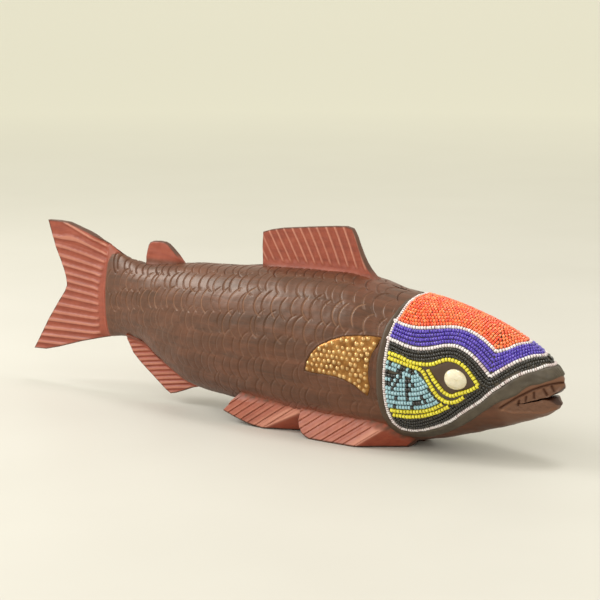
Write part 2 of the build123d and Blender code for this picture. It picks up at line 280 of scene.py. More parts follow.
def weld(verts, quads, values=None):
    """Joins equal points, turns collapsed quads into triangles and drops empty ones."""
    _, first, index = np.unique(np.round(verts, 4), axis=0, return_index=True, return_inverse=True)
    f = index.reshape(-1)[quads]
    same = f == np.roll(f, -1, axis=1)
    repeats = same.sum(1)
    whole = f[(repeats == 0) & (f[:, 0] != f[:, 2]) & (f[:, 1] != f[:, 3])]
    bent = f[repeats == 1]
    triangles = bent[~same[repeats == 1]].reshape(-1, 3)
    good = ((triangles[:, 0] != triangles[:, 1]) & (triangles[:, 1] != triangles[:, 2])
            & (triangles[:, 0] != triangles[:, 2]))
    kept = {k: v[first] for k, v in (values or {}).items()}
    return verts[first], whole, triangles[good], kept


def make_object(name, verts, quads, triangles=None, values=None):
    """Blender object from points in millimetres, with named values on its points."""
    triangles = np.zeros((0, 3), int) if triangles is None else triangles
    loops = np.concatenate([quads.reshape(-1), triangles.reshape(-1)])
    starts = np.concatenate([np.arange(len(quads)) * 4, len(quads) * 4 + np.arange(len(triangles)) * 3])
    mesh = bpy.data.meshes.new(name)
    mesh.vertices.add(len(verts))
    mesh.vertices.foreach_set("co", (verts * MM).astype(np.float32).reshape(-1))
    mesh.loops.add(len(loops))
    mesh.loops.foreach_set("vertex_index", loops.astype(np.int32))
    mesh.polygons.add(len(starts))
    mesh.polygons.foreach_set("loop_start", starts.astype(np.int32))
    mesh.polygons.foreach_set("use_smooth", np.ones(len(starts), bool))
    for key, data in (values or {}).items():
        layer = mesh.attributes.new(key, "FLOAT", "POINT")
        layer.data.foreach_set("value", data.astype(np.float32))
    mesh.update(calc_edges=True)
    mesh.validate()
    piece = bpy.data.objects.new(name, mesh)
    bpy.context.scene.collection.objects.link(piece)
    return piece


def grid_quads(rows, columns, offset=0):
    """Quads of a grid whose points are stored row by row."""
    i, j = np.meshgrid(np.arange(rows - 1), np.arange(columns - 1), indexing="ij")
    a = (i * columns + j).reshape(-1) + offset
    return np.stack([a, a + 1, a + columns + 1, a + columns], -1)


def ring_quads(rows, around, kept):
    """Quads of a grid closed on itself round each row; the first rows of it, wrapping after the last."""
    i, j = np.meshgrid(np.arange(kept), np.arange(around), indexing="ij")
    here, above, beside = i * around, (i + 1) % rows * around, (j + 1) % around
    return np.stack([here + j, here + beside, above + beside, above + j], -1).reshape(-1, 4)


def joined(parts):
    """Parts with points, quads and named values as one."""
    offsets = np.cumsum([0] + [len(part[0]) for part in parts[:-1]])
    values = {key: np.concatenate([part[2][key] for part in parts]) for key in parts[0][2]}
    return (np.concatenate([part[0] for part in parts]),
            np.concatenate([part[1] + offset for part, offset in zip(parts, offsets)]), None, values)


def finish_piece(piece, nodes, material):
    """Gives a piece its material, its body and the CAD nodes it stands for."""
    piece.data.materials.append(material)
    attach(piece, "root")
    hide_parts(*nodes)


def thicken(piece, thickness):
    """Closes an open skin into a sheet of some thickness, inwards."""
    bpy.context.view_layer.objects.active = piece
    solidify = piece.modifiers.new("thickness", "SOLIDIFY")
    solidify.thickness = thickness * MM
    solidify.offset = -1
    bpy.ops.object.modifier_apply(modifier="thickness")


# ---------------------------------------------------------------- materials

class Shading:
    """A material under construction, with short ways to add nodes to it."""

    def __init__(self, name):
        self.material = bpy.data.materials.new(name)
        self.material.use_nodes = True
        self.tree = self.material.node_tree
        self.shader = self.tree.nodes["Principled BSDF"]

    def connect(self, socket, value):
        """Links a socket to another one, or gives it a constant value."""
        if isinstance(value, bpy.types.NodeSocket):
            self.tree.links.new(value, socket)
        else:
            socket.default_value = value

    def add(self, kind, inputs, **settings):
        """Node with its settings and inputs."""
        node = self.tree.nodes.new("ShaderNode" + kind)
        for key, value in settings.items():
            setattr(node, key, value)
        for key, value in inputs.items():
            self.connect(node.inputs[key], value)
        return node

    def position(self, stretch=(1, 1, 1)):
        """Object coordinates, stretched along the axes."""
        coordinates = self.add("TexCoord", {})
        return self.add("Mapping", {"Vector": coordinates.outputs["Object"], "Scale": stretch}).outputs[0]

    def noise(self, scale, stretch=(1, 1, 1), detail=4.0, roughness=0.55, distortion=0.0):
        """Noise value at a number of features per metre."""
        inputs = {"Vector": self.position(stretch), "Scale": scale, "Detail": detail, "Roughness": roughness,
                  "Distortion": distortion}
        return self.add("TexNoise", inputs).outputs["Fac"]

    def ramp(self, factor, stops):
        """Colour ramp through (place, colour) stops."""
        node = self.add("ValToRGB", {"Fac": factor})
        elements = node.color_ramp.elements
        while len(elements) < len(stops):
            elements.new(0.5)
        for element, (place, colour) in zip(elements, stops):
            element.position = place
            element.color = (*colour, 1)
        return node.outputs["Color"]

    def mix(self, factor, under, colour):
        """A colour laid over another one."""
        return self.add("Mix", {0: factor, 6: under, 7: (*colour, 1)}, data_type="RGBA").outputs[2]

    def math(self, operation, a, b, clamp=False):
        """Arithmetic on two numbers or sockets."""
        return self.add("Math", {0: a, 1: b}, operation=operation, use_clamp=clamp).outputs[0]

    def times(self, a, b):
        """Product of two numbers or sockets."""
        return self.math("MULTIPLY", a, b)

    def value(self, name):
        """Named value stored on the mesh's points."""
        return self.add("Attribute", {}, attribute_name=name).outputs["Fac"]

    def span(self, factor, low, high):
        """Number between low and high."""
        return self.add("MapRange", {"Value": factor, "To Min": low, "To Max": high}).outputs[0]

    def bump(self, height, strength, distance):
        """Fine relief in the shader."""
        node = self.add("Bump", {"Height": height, "Strength": strength, "Distance": distance})
        self.tree.links.new(node.outputs[0], self.shader.inputs["Normal"])

    def finish(self, **values):
        """Sets the shader's inputs, named with _ for a space, and gives the material."""
        for key, value in values.items():
            self.connect(self.shader.inputs[key.replace("_", " ")], value)
        return self.material


def wood_material():
    """Dark stained wood, waxed, with red mist near the fins, pale bare edges with painted highlight on the
    cuts, and painted shade in the grooves and inside the mouth.
    """
    wood = Shading("stained_wood")
    grain = wood.noise(60, (0.35, 3.2, 3.2), 7, 0.62, 0.6)
    patches = wood.noise(16, (0.6, 1, 1), 3)
    fine = wood.noise(420, (0.25, 2.2, 2.2), 3)
    base = wood.ramp(grain, [(0.32, (0.044, 0.012, 0.004)), (0.5, (0.095, 0.026, 0.009)),
                             (0.72, (0.16, 0.048, 0.02))])
    base = wood.mix(wood.times(patches, 0.45), base, (0.125, 0.038, 0.009))
    base = wood.mix(wood.span(fine, 0.0, 0.55), base, (0.045, 0.015, 0.006))
    # cut: pale bare edges of the carving, with painted highlight
    cut = wood.times(wood.value("cut"), wood.span(patches, 0.4, 1.0))
    base = wood.mix(wood.times(cut, 0.85), base, (0.48, 0.27, 0.17))
    # mist is red paint overspray and bare the lip's own colour; dark is painted shade in the grooves, between
    # the teeth and inside the mouth
    for name, amount, colour in (("mist", 0.92, (0.27, 0.056, 0.03)), ("bare", 0.8, (0.15, 0.065, 0.036)),
                                 ("dark", 0.8, (0.04, 0.011, 0.005))):
        base = wood.mix(wood.times(wood.value(name), amount), base, colour)
    strokes = wood.math("ADD", wood.value("dark"), wood.value("cut"), clamp=True)
    wood.bump(wood.math("ADD", grain, wood.times(fine, 0.5)), 0.35, 0.0004)
    return wood.finish(Base_Color=base, Roughness=wood.span(wood.noise(90, (0.5, 2, 2)), 0.34, 0.52),
                       Specular_IOR_Level=wood.span(strokes, 0.55, 0.12), Specular_Tint=(1, 0.91, 0.8, 1),
                       Coat_Weight=0.08, Coat_Roughness=0.3)


def paint_material():
    """Brick-red paint, pale on the rays from wear and painted highlight, and dark brown round the edges."""
    paint = Shading("red_paint")
    grain = paint.noise(150, (0.4, 2.0, 2.0), 6, 0.6)
    patches = paint.noise(38, detail=3)
    base = paint.ramp(grain, [(0.3, (0.195, 0.03, 0.013)), (0.55, (0.265, 0.047, 0.02)),
                              (0.8, (0.315, 0.074, 0.035))])
    base = paint.mix(paint.times(patches, 0.35), base, (0.33, 0.074, 0.033))
    # pale rays: worn paint with painted highlight on the crests
    worn = paint.times(paint.value("ray_wear_and_highlight"), paint.span(patches, 0.6, 1.0))
    base = paint.mix(paint.times(worn, 0.8), base, (0.55, 0.235, 0.16))
    base = paint.mix(paint.times(paint.value("root"), 0.9), base, (0.09, 0.036, 0.016))
    base = paint.mix(paint.times(paint.value("rim"), 0.88), base, (0.06, 0.026, 0.012))
    paint.bump(paint.math("ADD", grain, paint.noise(600, (0.4, 1.5, 1.5))), 0.3, 0.0003)
    rough = paint.span(paint.noise(120), 0.42, 0.6)
    return paint.finish(Base_Color=base, Roughness=rough, Specular_IOR_Level=0.45)


def putty_material():
    """Grey-brown adhesive putty, smoothed by hand, darker inside the eye frame."""
    putty = Shading("putty")
    lumps = putty.noise(160, detail=5)
    base = putty.ramp(lumps, [(0.3, (0.05, 0.036, 0.022)), (0.7, (0.085, 0.065, 0.042))])
    base = putty.mix(putty.value("dark"), base, (0.062, 0.033, 0.016))
    putty.bump(lumps, 0.4, 0.0004)
    return putty.finish(Base_Color=base, Roughness=putty.span(putty.noise(240), 0.38, 0.6))


def bead_material(name, stops):
    """Opaque glass; each bead has its own tint."""
    glass = Shading(name)
    mottle = glass.noise(900, detail=2)
    colour = glass.ramp(glass.value("tint"), stops)
    shade = glass.mix(glass.span(mottle, 0.0, 0.25), colour, (0.02, 0.015, 0.012))
    return glass.finish(Base_Color=shade, Roughness=glass.span(mottle, 0.14, 0.28), Specular_IOR_Level=0.6,
                        Coat_Weight=0.35, Coat_Roughness=0.08)


def brass_material():
    """Aged brass, bright on the bumps and brown between them."""
    brass = Shading("embossed_brass")
    age = brass.noise(130, detail=6, roughness=0.65)
    height = brass.value("emboss")
    base = brass.ramp(age, [(0.32, (0.15, 0.06, 0.016)), (0.5, (0.29, 0.13, 0.036)),
                            (0.68, (0.46, 0.24, 0.075))])
    base = brass.mix(brass.times(height, 0.75), base, (0.78, 0.54, 0.25))
    rough = brass.math("SUBTRACT", brass.span(age, 0.3, 0.52), brass.times(height, 0.12))
    brass.bump(brass.noise(700, detail=3), 0.3, 0.0003)
    return brass.finish(Base_Color=base, Metallic=0.92, Roughness=rough)


def ivory_material():
    """Polished ivory-coloured cabochon."""
    ivory = Shading("ivory")
    cloud = ivory.noise(120, (1, 1, 2), distortion=0.8)
    base = ivory.ramp(cloud, [(0.3, (0.62, 0.54, 0.36)), (0.7, (0.82, 0.76, 0.6))])
    return ivory.finish(Base_Color=base, Roughness=ivory.span(cloud, 0.22, 0.34), Subsurface_Weight=0.15,
                        Subsurface_Radius=(0.002, 0.0015, 0.001), Coat_Weight=0.3)


def floor_material():
    """Pale plain floor with painted light: it grows lighter away from the fish, where the lamps give less."""
    floor = Shading("pale_floor")
    base = floor.ramp(floor.noise(3, detail=3), [(0.3, (0.54, 0.52, 0.48)), (0.7, (0.58, 0.56, 0.52))])
    distance = floor.add("VectorMath", {0: floor.position()}, operation="LENGTH").outputs["Value"]
    # painted light: lighter from 0.5 m out to 3 m
    painted_far_light = floor.add("MapRange", {"Value": distance, "From Min": 0.5, "From Max": 3.0}).outputs[0]
    return floor.finish(Base_Color=floor.mix(painted_far_light, base, (0.8, 0.78, 0.68)), Roughness=0.55)


WOOD, PAINT, PUTTY = wood_material(), paint_material(), putty_material()
BRASS, IVORY = brass_material(), ivory_material()


# ---------------------------------------------------------------- carved body

PATCH_BACK = string_path(BORDER)
behind = [(x - PUTTY_MARGIN, z) for x, z in ((131, 108), (128.4, 103), (126, 96), (122.4, 88), (120.5, 76),
                                             (119.2, 64), (118.8, 50), (119.2, 36), (121, 24), (124, 16))]
PUTTY_OUTLINE = np.concatenate([rounded(behind + PUTTY_LIP[::-1], 1.5), [(243, 150), (125.5, 150)]])
GILL = rounded([(112.8, 76), (110.4, 68), (109.2, 60), (109, 50), (110, 42), (112.5, 36)], 2)
SHOULDER = rounded([(66, 99.5), (76, 97.8), (88, 95.6), (100, 92.8), (113, 89.4)], 2)
LIP_GROOVE = rounded([(201, 38.6), (206, 42.2), (213, 47.2), (219, 51), (225, 54.4), (233.7, 57.8),
                      (240, 59)], 1)
JAW_RIDGE = rounded([(201, 38.4), (208.4, 36.6), (219, 37.2), (228, 37.4), (235.5, 40.4)], 1)
TEETH = [((214.6, 45.2), (213.4, 41.4)), ((219.5, 48.5), (218.8, 45)), ((224.4, 51.6), (224.4, 47.6)),
         ((230.4, 54.4), (232.2, 50.4)), ((235, 56.6), (236.4, 53))]


# How pale the cut edges of each row of scales look, bare wood with painted highlight, and how much painted
# shade lies in their grooves, from the back down
EDGE_HIGHLIGHT_ROWS = (0.2, 0.75, 1.0, 0.85, 0.35, 0.2)
GROOVE_SHADE_ROWS = (1.0, 0.6, 0.15, 0.15, 0.4, 0.4)


def scale_relief(x, s, side):
    """Height of the incised scales on a grid with columns of equal x, their pale edges of bare wood with
    painted highlight, and the painted shade in their grooves.
    """
    own = np.random.default_rng(5 if side == RIGHT else 6)
    relief, cut, shade = np.zeros_like(x), np.zeros_like(x), np.zeros_like(x)
    columns = x[:, 0]
    for row in range(10):
        centre_x = -150.0 + (4 if row % 2 else 0)
        while centre_x < 132:
            grow = fade(centre_x, -158, 40)
            pitch, row_pitch = 6.6 + 1.9 * grow, 13.2 + 3.4 * grow
            cx = centre_x + own.normal(0, 0.7)
            cs = (row + 0.55) * row_pitch + own.normal(0, 0.8)
            radius = row_pitch * 0.66 * own.uniform(0.88, 1.14)
            tilt = own.normal(0.05, 0.13)
            up, down = own.uniform(0.85, 1.2), own.uniform(0.85, 1.2)
            worn = 1 - 0.7 * (row > 2) * fade(cx, 0, -70)
            depth = own.uniform(0.5, 0.85) * worn * (1 if row < 4 else 0.75)
            strength = own.uniform(0.3, 1.0) * worn * EDGE_HIGHLIGHT_ROWS[min(row, len(EDGE_HIGHLIGHT_ROWS) - 1)]
            darkness = (depth / 0.85) ** 2 * GROOVE_SHADE_ROWS[min(row, len(GROOVE_SHADE_ROWS) - 1)]
            centre_x += pitch * own.uniform(0.88, 1.14)
            low, high = np.searchsorted(columns, (cx - radius - 3, cx + 0.5 * radius))
            if high - low < 2:
                continue
            block = slice(low, high)
            dx, ds = x[block] - cx, s[block] - cs
            if np.abs(ds).min() > radius:
                continue
            r = np.hypot(dx, ds)
            phi = np.arctan2(ds, -dx) + tilt
            taper = fade(phi, -up - 0.1, -up + 0.22) * fade(phi, down + 0.1, down - 0.22)
            d = r - radius
            steep = bell(np.maximum(d, 0), 0.4) * bell(np.minimum(d, 0), 0.52)
            relief[block] = np.minimum(relief[block], -depth * taper * steep)
            # pale edge of the cut: bare wood with painted highlight
            edge = taper * bell(d + 0.1, 0.42) * strength
            cut[block] = np.maximum(cut[block], edge)
            # painted shade in the cut's groove
            shade[block] = np.maximum(shade[block], darkness * taper * steep)
    return relief, cut, shade


def mouth_edges(x):
    """Angles of the slit's two edges; behind the mouth's corner they are one."""
    upper = angle_at(x, np.interp(x, *zip(*MOUTH_UPPER)))
    lower = angle_at(x, np.interp(x, *zip(*MOUTH_LOWER)))
    corner = angle_at(MOUTH_CORNER, MOUTH_UPPER[0][1])
    back = MOUTH_ROW + (corner - MOUTH_ROW) * fade(x, 150, MOUTH_CORNER)
    open_mouth = x > MOUTH_CORNER
    return np.where(open_mouth, upper, back), np.where(open_mouth, np.maximum(lower, upper), back)


def body_relief(x, t, s, side):
    """Carved height over the plain body, and the values that colour it, painted shade and painted highlight
    among them.
    """
    base = surface(x, t)
    z = base[..., 2]
    putty = signed_distance(x, z, PUTTY_OUTLINE)
    plate = signed_distance(x, z, PLATE)
    scales, cut, shade = scale_relief(x, s, side)
    half_girth = s.max(1, keepdims=True)
    away = (fade(putty, 1.5, 4.5) * fade(plate, 0.5, 1.8) * fade(s, 0, 1.5)
            * fade(half_girth - s, 2, 8) * fade(x, TAIL_JOINT, TAIL_JOINT + 5))
    smooth_gill = fade(x, 113, 104) + fade(z, 78, 86) + fade(z, 42, 34)
    away = away * np.clip(smooth_gill, 0, 1)
    relief = scales * away
    cut, shade = cut * away, shade * away
    relief = relief - 0.8 * bell(line_distance(x, z, GILL), 0.9)
    relief = relief - 0.9 * fade(plate, 0.5, -0.2) + 0.25 * bell(plate - 0.9, 0.5)
    shoulder = line_distance(x, z, SHOULDER)
    relief = relief - 0.25 * bell(shoulder, 0.6) - 0.12 * bell(shoulder - 1.9, 0.5)
    relief = relief - 3.4 * fade(putty, -1.6, -3.0)
    groove = line_distance(x, z, LIP_GROOVE)
    ridge = line_distance(x, z, JAW_RIDGE)
    lips = signed_distance(x, z, np.concatenate([LIP_GROOVE, JAW_RIDGE[::-1]]))
    between = fade(x, 202, 210) * fade(lips, 0.4, -1.0)
    lip_cut = bell(groove, 0.8)
    relief = relief - 1.3 * lip_cut - 0.8 * between + 0.4 * bell(ridge, 0.9)
    relief = relief - 0.25 * between * waves(x, z, 4.5, 120 + side)
    tooth = 0 * x
    for a, b in TEETH:
        tooth = np.maximum(tooth, bell(line_distance(x, z, (a, b)), 0.75))
    relief = relief - 1.0 * tooth
    # pale on the jaw ridge and above the lip groove: bare wood with painted highlight, laid in with the cut
    # edges
    light = bell(ridge, 0.8) + bell(groove - 1.7, 0.7) * fade(x, 200, 204)
    relief = relief + 0.22 * waves(x, s, 26, 3 + side) + 0.07 * waves(x, s, 7, 8 + side)
    lip = fade(x, 196, 206) * fade(putty, -0.2, 0.8)
    mist = mist_near_fins(x, base[..., 1], z)
    cut = np.maximum(cut, 0.8 * light * (1 - tooth))
    # dark: painted shade in the lip groove, between the teeth and in the scale grooves
    return relief, {"cut": cut, "mist": mist, "bare": lip, "dark": np.clip(lip_cut + tooth + shade, 0, 1)}


def mist_near_fins(x, y, z):
    """How much red paint drifted onto the wood round each fin's root."""
    dorsal = fade(np.abs(y), 9, 2) * fade(np.abs(x - 36), 58, 44) * (z > 90)
    nape = fade(np.hypot((x - 92) / 16, (z - 112) / 9, y / 14), 1.2, 0.3)
    lower = fade(np.abs(z - (21 - 0.045 * (x - 0))), 7, 1) * fade(x, -16, -4) * fade(x, 132, 118)
    anal = fade(np.abs(y), 9, 3) * fade(np.abs(x + 105), 40, 30) * (z < 60)
    edge = np.interp(z, (98, 103, 106), (TAIL_JOINT + 0.3, TAIL_JOINT + 3.5, TAIL_JOINT + 10))
    tail = fade(x, edge + 0.9, edge - 0.6)
    return np.clip(dorsal * 0.35 + nape * 0.12 + lower * 0.45 + anal * 0.3 + tail, 0, 1)


def blunt_snout(points, columns, start=237.6):
    """Rounds off the last millimetres of the snout."""
    share = np.clip((columns - start) / (SNOUT - start), 0, 1)
    blunt = np.sqrt(np.clip(1 - share**2, 0, 1))[:, None]
    points = points.copy()
    points[..., 1] *= blunt
    points[..., 2] = 57.5 + (points[..., 2] - 57.5) * np.where(share[:, None] > 0, 0.35 + 0.65 * blunt, 1)
    return points


CREST = [(-158, 119), (-146.2, 112.9), (-136.8, 109.2), (-126, 107.2), (-118, 107.3)]
CREST_FOOT = 84                # the crest rises out of the flank from this height


def raise_crest(points, x):
    """Draws the back of the tail root up into the leading edge of the tail."""
    top = back_line(np.maximum(x, TAIL_JOINT))
    lift = np.where(x < CREST[-1][0], np.interp(x, *zip(*CREST)) - top, 0)
    share = np.clip((points[..., 2] - CREST_FOOT) / (top - CREST_FOOT), 0, 1)
    raised = points.copy()
    raised[..., 2] += np.maximum(lift, 0) * share**1.5
    raised[..., 1] *= 1 - 0.42 * np.clip(lift / 13, 0, 1) * share**1.5
    return raised


def body_side(side):
    """Grid of one side of the body, with the slit's walls, and its quads."""
    columns = np.concatenate([np.arange(TAIL_JOINT, 200, 0.54), np.arange(200, 238.4, 0.42),
                              np.linspace(238.4, SNOUT, 7)])
    upper_rows, lower_rows = 184, 92
    t_upper, t_lower = mouth_edges(columns)
    above = np.linspace(0, 1, upper_rows)[None] * t_upper[:, None]
    below = t_lower[:, None] + np.linspace(0, 1, lower_rows)[None] * (np.pi - t_lower[:, None])
    t = np.concatenate([above, below], 1)
    x = np.repeat(columns[:, None], t.shape[1], 1)
    base = surface(x, t)
    steps = np.linalg.norm(np.diff(base, axis=1), axis=2)
    s = np.concatenate([np.zeros((len(columns), 1)), np.cumsum(steps, 1)], 1)
    relief, values = body_relief(x, t, s, side)
    points = raise_crest(base + normals(x, t) * relief[..., None], x)
    points[:, (0, -1), 1] = 0
    points[..., 2] = np.maximum(points[..., 2], BELLY_FLAT)
    points = blunt_snout(points, columns)
    edge_up, edge_low = points[:, upper_rows - 1], points[:, upper_rows]
    open_mouth = columns > MOUTH_CORNER
    core = np.where(columns < THROAT, THROAT_CORE, 0.0)
    walls = []
    for edge, share in ((edge_up, 0.5), (edge_up, 1), (edge_low, 1), (edge_low, 0.5)):
        wall = edge.copy()
        inner = np.sign(edge[:, 1]) * np.minimum(core, np.abs(edge[:, 1]))
        wall[:, 1] = np.where(open_mouth, edge[:, 1] + (inner - edge[:, 1]) * share, edge[:, 1])
        walls.append(wall)
    walls = np.stack(walls, 1)
    points = np.concatenate([points[:, :upper_rows], walls, points[:, upper_rows:]], 1)
    count = points.shape[1]
    kept = {}
    for key, data in values.items():
        middle = np.repeat(data[:, upper_rows - 1:upper_rows], 4, 1) * 0
        # the walls inside the open mouth get the painted shade in full
        if key == "dark":
            middle = middle + (columns[:, None] > MOUTH_CORNER)
        kept[key] = np.concatenate([data[:, :upper_rows], middle, data[:, upper_rows:]], 1).reshape(-1)
    quads = grid_quads(len(columns), count)
    column = np.repeat(np.arange(len(columns) - 1), count - 1)
    row = np.tile(np.arange(count - 1), len(columns) - 1)
    through = (columns[column] > THROAT) & (row == upper_rows + 1)
    bottom = belly_line(columns)
    shallow = (np.interp(columns, *zip(*MOUTH_LOWER)) - bottom < 0.05) & (columns > MOUTH_CORNER)
    gone = shallow[column] & (row > upper_rows)
    quads = quads[~(through | gone)]
    points = points * (1, -side, 1)
    if side == RIGHT:
        quads = quads[:, ::-1]
    return points.reshape(-1, 3), quads, kept


def both_sides(name, build):
    """Object from what build(side) gives for both sides, welded into one mesh."""
    verts, quads, _, values = joined([build(side) for side in (RIGHT, LEFT)])
    return make_object(name, *weld(verts, quads, values))


finish_piece(both_sides("carved_body", body_side), ["body"], WOOD)


# ---------------------------------------------------------------- putty under the beads

EYE_FRAME = np.concatenate([string_path(YELLOW_EYE[3:]), string_path(YELLOW_UNDER_EYE)])
PUTTY_UNDER = 1.6              # putty level under the beads
PUTTY_BARE = 0.3               # putty level round them
PUTTY_SHEET = 1.2


def region_distance(path, outline):
    """Distance to a closed outline, both given in body coordinates, negative inside it."""
    return signed_distance(path[..., 0], path[..., 1] * SPREAD, outline * (1, SPREAD))


def in_region(path, outline):
    """Which body coordinates lie inside a closed outline."""
    return region_distance(path, outline) < 0


def putty_side(side):
    """Skin of putty on one side of the head."""
    columns = np.concatenate([np.arange(111, 238.4, 0.6), np.linspace(238.4, SNOUT, 5)])
    low = angle_at(columns, np.interp(columns, (111, 124, 135, 163, 200, 213.5, 229.4, 240),
                                      (9, 7, 6, 15, 41, 48, 57, 61)))
    t = np.linspace(0, 1, 150)[None] * low[:, None]
    x = np.repeat(columns[:, None], t.shape[1], 1)
    base = surface(x, t)
    z = base[..., 2]
    edge = signed_distance(x, z, PUTTY_OUTLINE)
    place = np.stack([x, t], -1)
    inner, eye = region_distance(place, PATCH_LOOP), region_distance(place, EYE_FRAME)
    height = -PUTTY_BARE + 0.16 * waves(x, t * SPREAD, 9, 40 + side) - 3.2 * fade(edge, -0.9, 1.0)
    height = height + (-PUTTY_UNDER + PUTTY_BARE) * fade(inner, 2.7, 1.3)
    height = height + 0.9 * fade(eye, -0.6, -3.0)
    points = base + normals(x, t) * height[..., None]
    points[:, 0, 1] = 0
    points = blunt_snout(points, columns) * (1, -side, 1)
    quads = grid_quads(*t.shape)
    corner = edge.reshape(-1)[quads]
    quads = quads[corner.min(1) < 0.9]
    dark = np.maximum(fade(eye, 0.5, -0.5), 0.75 * fade(x, 142, 124) * fade(inner, 0, 2))
    return points.reshape(-1, 3), quads[:, ::-1] if side == RIGHT else quads, {"dark": dark.reshape(-1)}


PATCH_LOOP = np.concatenate([PATCH_BACK, [(232, -0.2), (128.9, -0.2)]])
putty = both_sides("putty_bed", putty_side)
thicken(putty, PUTTY_SHEET)
finish_piece(putty, ["putty_bed"], PUTTY)


# ---------------------------------------------------------------- beads

def random_tint(_=0):
    """Any tint between 0 and 1."""
    return rng.uniform(0, 1)


def bead_centre(x, t, diameter):
    """Centre of a bead pressed into the putty at a place on the body."""
    return surface(x, t) + normals(x, t) * (diameter * 0.46 - PUTTY_UNDER + 0.1)


class Strand:
    """Beads of one colour: centre, direction along the string, direction outwards, size and tint."""

    placed = np.zeros((0, 4))       # centre and diameter of every bead so far, on the right side

    def __init__(self):
        self.beads = []

    def put(self, x, t, along, size, tint):
        """Adds one bead lying on the body."""
        x, t = np.array(x), np.array(t)
        centre = bead_centre(x, t, size[0])
        self.beads.append((centre, along, normals(x, t), size, tint))
        Strand.placed = np.concatenate([Strand.placed, [[*centre, size[0]]]])

    def even(self, path, size):
        """Fills a whole path with evenly spaced beads."""
        points = surface(path[:, 0], path[:, 1])
        run = length_along(points)
        along = unit(np.gradient(points, axis=0))
        count = int(round(run[-1] / size[1]))
        for place in (np.arange(count) + 0.5) * run[-1] / count:
            x, t = (np.interp(place, run, path[:, k]) for k in (0, 1))
            direction = np.array([np.interp(place, run, along[:, k]) for k in range(3)])
            self.put(x, t, unit(direction), size, random_tint())

    def fill(self, path, size, inside, ratio=0.84, tint=random_tint, middle_gap=0.0):
        """Walks a path and puts a bead wherever one fits inside the region."""
        if path is None or len(path) < 3:
            return
        points = surface(path[:, 0], path[:, 1])
        run = length_along(points)
        along = unit(np.gradient(points, axis=0))
        allowed = inside(path) & (points[:, 1] < -middle_gap)
        row_start = len(Strand.placed)
        place, number, last = 0.4, 0, -9.0
        while place < run[-1]:
            k = min(int(np.searchsorted(run, place)), len(path) - 1)
            x, t = (np.interp(place, run, path[:, j]) for j in (0, 1))
            if allowed[k] and place - last >= size[1] * 0.98 and free(x, t, size, ratio, row_start):
                self.put(x, t, along[k], size, tint(number))
                number += 1
                last = place
                place += size[1] * rng.uniform(0.99, 1.04)
            else:
                place += 0.25

    def fill_gaps(self, low, high, size, inside, ratio):
        """Closes what the rows left open with single beads."""
        grid = np.meshgrid(np.arange(low[0], high[0], 0.7), np.arange(low[1], high[1], 0.02))
        x, t = (c.reshape(-1) for c in grid)
        points = surface(x, t)
        for k in np.flatnonzero(inside(np.stack([x, t], -1)) & (points[:, 1] < -size[0] * 0.42)):
            if free(x[k], t[k], size, ratio, len(Strand.placed)):
                self.put(x[k], t[k], np.array([1.0, 0, 0]), size, random_tint())


def free(x, t, size, ratio, row_start):
    """Whether a bead fits between those already placed; its own row begins at row_start."""
    gap = np.linalg.norm(Strand.placed[:, :3] - bead_centre(np.array(x), np.array(t), size[0]), axis=1)
    limit = ratio * (Strand.placed[:, 3] + size[0]) / 2
    return bool((gap > np.where(np.arange(len(gap)) >= row_start, size[1] * 0.9, limit)).all())


# Half of a bead's section, from the hole outwards and back: radius and place along, for a bead of size 1
BEAD_PROFILE = np.array([(0.24, 0.30), (0.34, 0.46), (0.42, 0.5), (0.485, 0.36), (0.5, 0.0), (0.485, -0.36),
                         (0.42, -0.5), (0.34, -0.46), (0.24, -0.30)])
BEAD_AROUND = 12


def bead_mesh(beads, side):
    """One mesh of many small glass rings with their tints."""
    own = np.random.default_rng(77 + side + len(beads))
    count, rows = len(beads), len(BEAD_PROFILE)
    centre, along, outward = (np.array([b[k] for b in beads]) for k in range(3))
    diameter = np.array([b[3][0] for b in beads]) * own.uniform(0.95, 1.05, count)
    length = np.array([b[3][1] for b in beads]) * own.uniform(0.86, 0.98, count) * BEAD_SHARE
    tint = np.clip(np.array([b[4] for b in beads], float) + own.normal(0, 0.012, count), 0, 1)
    along = unit(along + own.normal(0, 0.045, (count, 3)))
    outward = unit(outward - along * (outward * along).sum(1, keepdims=True))
    across = np.cross(along, outward)
    centre = centre + own.normal(0, 0.05, (count, 3)) + outward * own.normal(0, 0.06, (count, 1))
    angle = np.linspace(0, 2 * np.pi, BEAD_AROUND, endpoint=False)
    ring = (outward[:, None] * np.cos(angle)[:, None] + across[:, None] * np.sin(angle)[:, None])
    radius = BEAD_PROFILE[:, 0][None] * diameter[:, None]
    shift = BEAD_PROFILE[:, 1][None] * length[:, None]
    verts = (centre[:, None, None] + ring[:, None] * radius[:, :, None, None]
             + along[:, None, None] * shift[:, :, None, None])
    quad = ring_quads(rows, BEAD_AROUND, rows)
    quads = (quad[None] + (np.arange(count) * rows * BEAD_AROUND)[:, None, None]).reshape(-1, 4)
    return (verts.reshape(-1, 3) * (1, -side, 1), quads[:, ::-1] if side == LEFT else quads,
            {"tint": np.repeat(tint, rows * BEAD_AROUND)})


def bead_object(name, parts, material):
    """Object with the beads of one node; each part is a list of beads and the side they lie on."""
    piece = make_object(name, *joined([bead_mesh(beads, side) for beads, side in parts]))
    finish_piece(piece, [name], material)


def between_paths(lower, upper, share):
    """Path part of the way from one path to another."""
    u = np.linspace(0, 1, 300)
    a, b = (np.stack([np.interp(u, np.linspace(0, 1, len(p)), p[:, k]) for k in (0, 1)], -1)
            for p in (lower, upper))
    return resample(a + (b - a) * share)


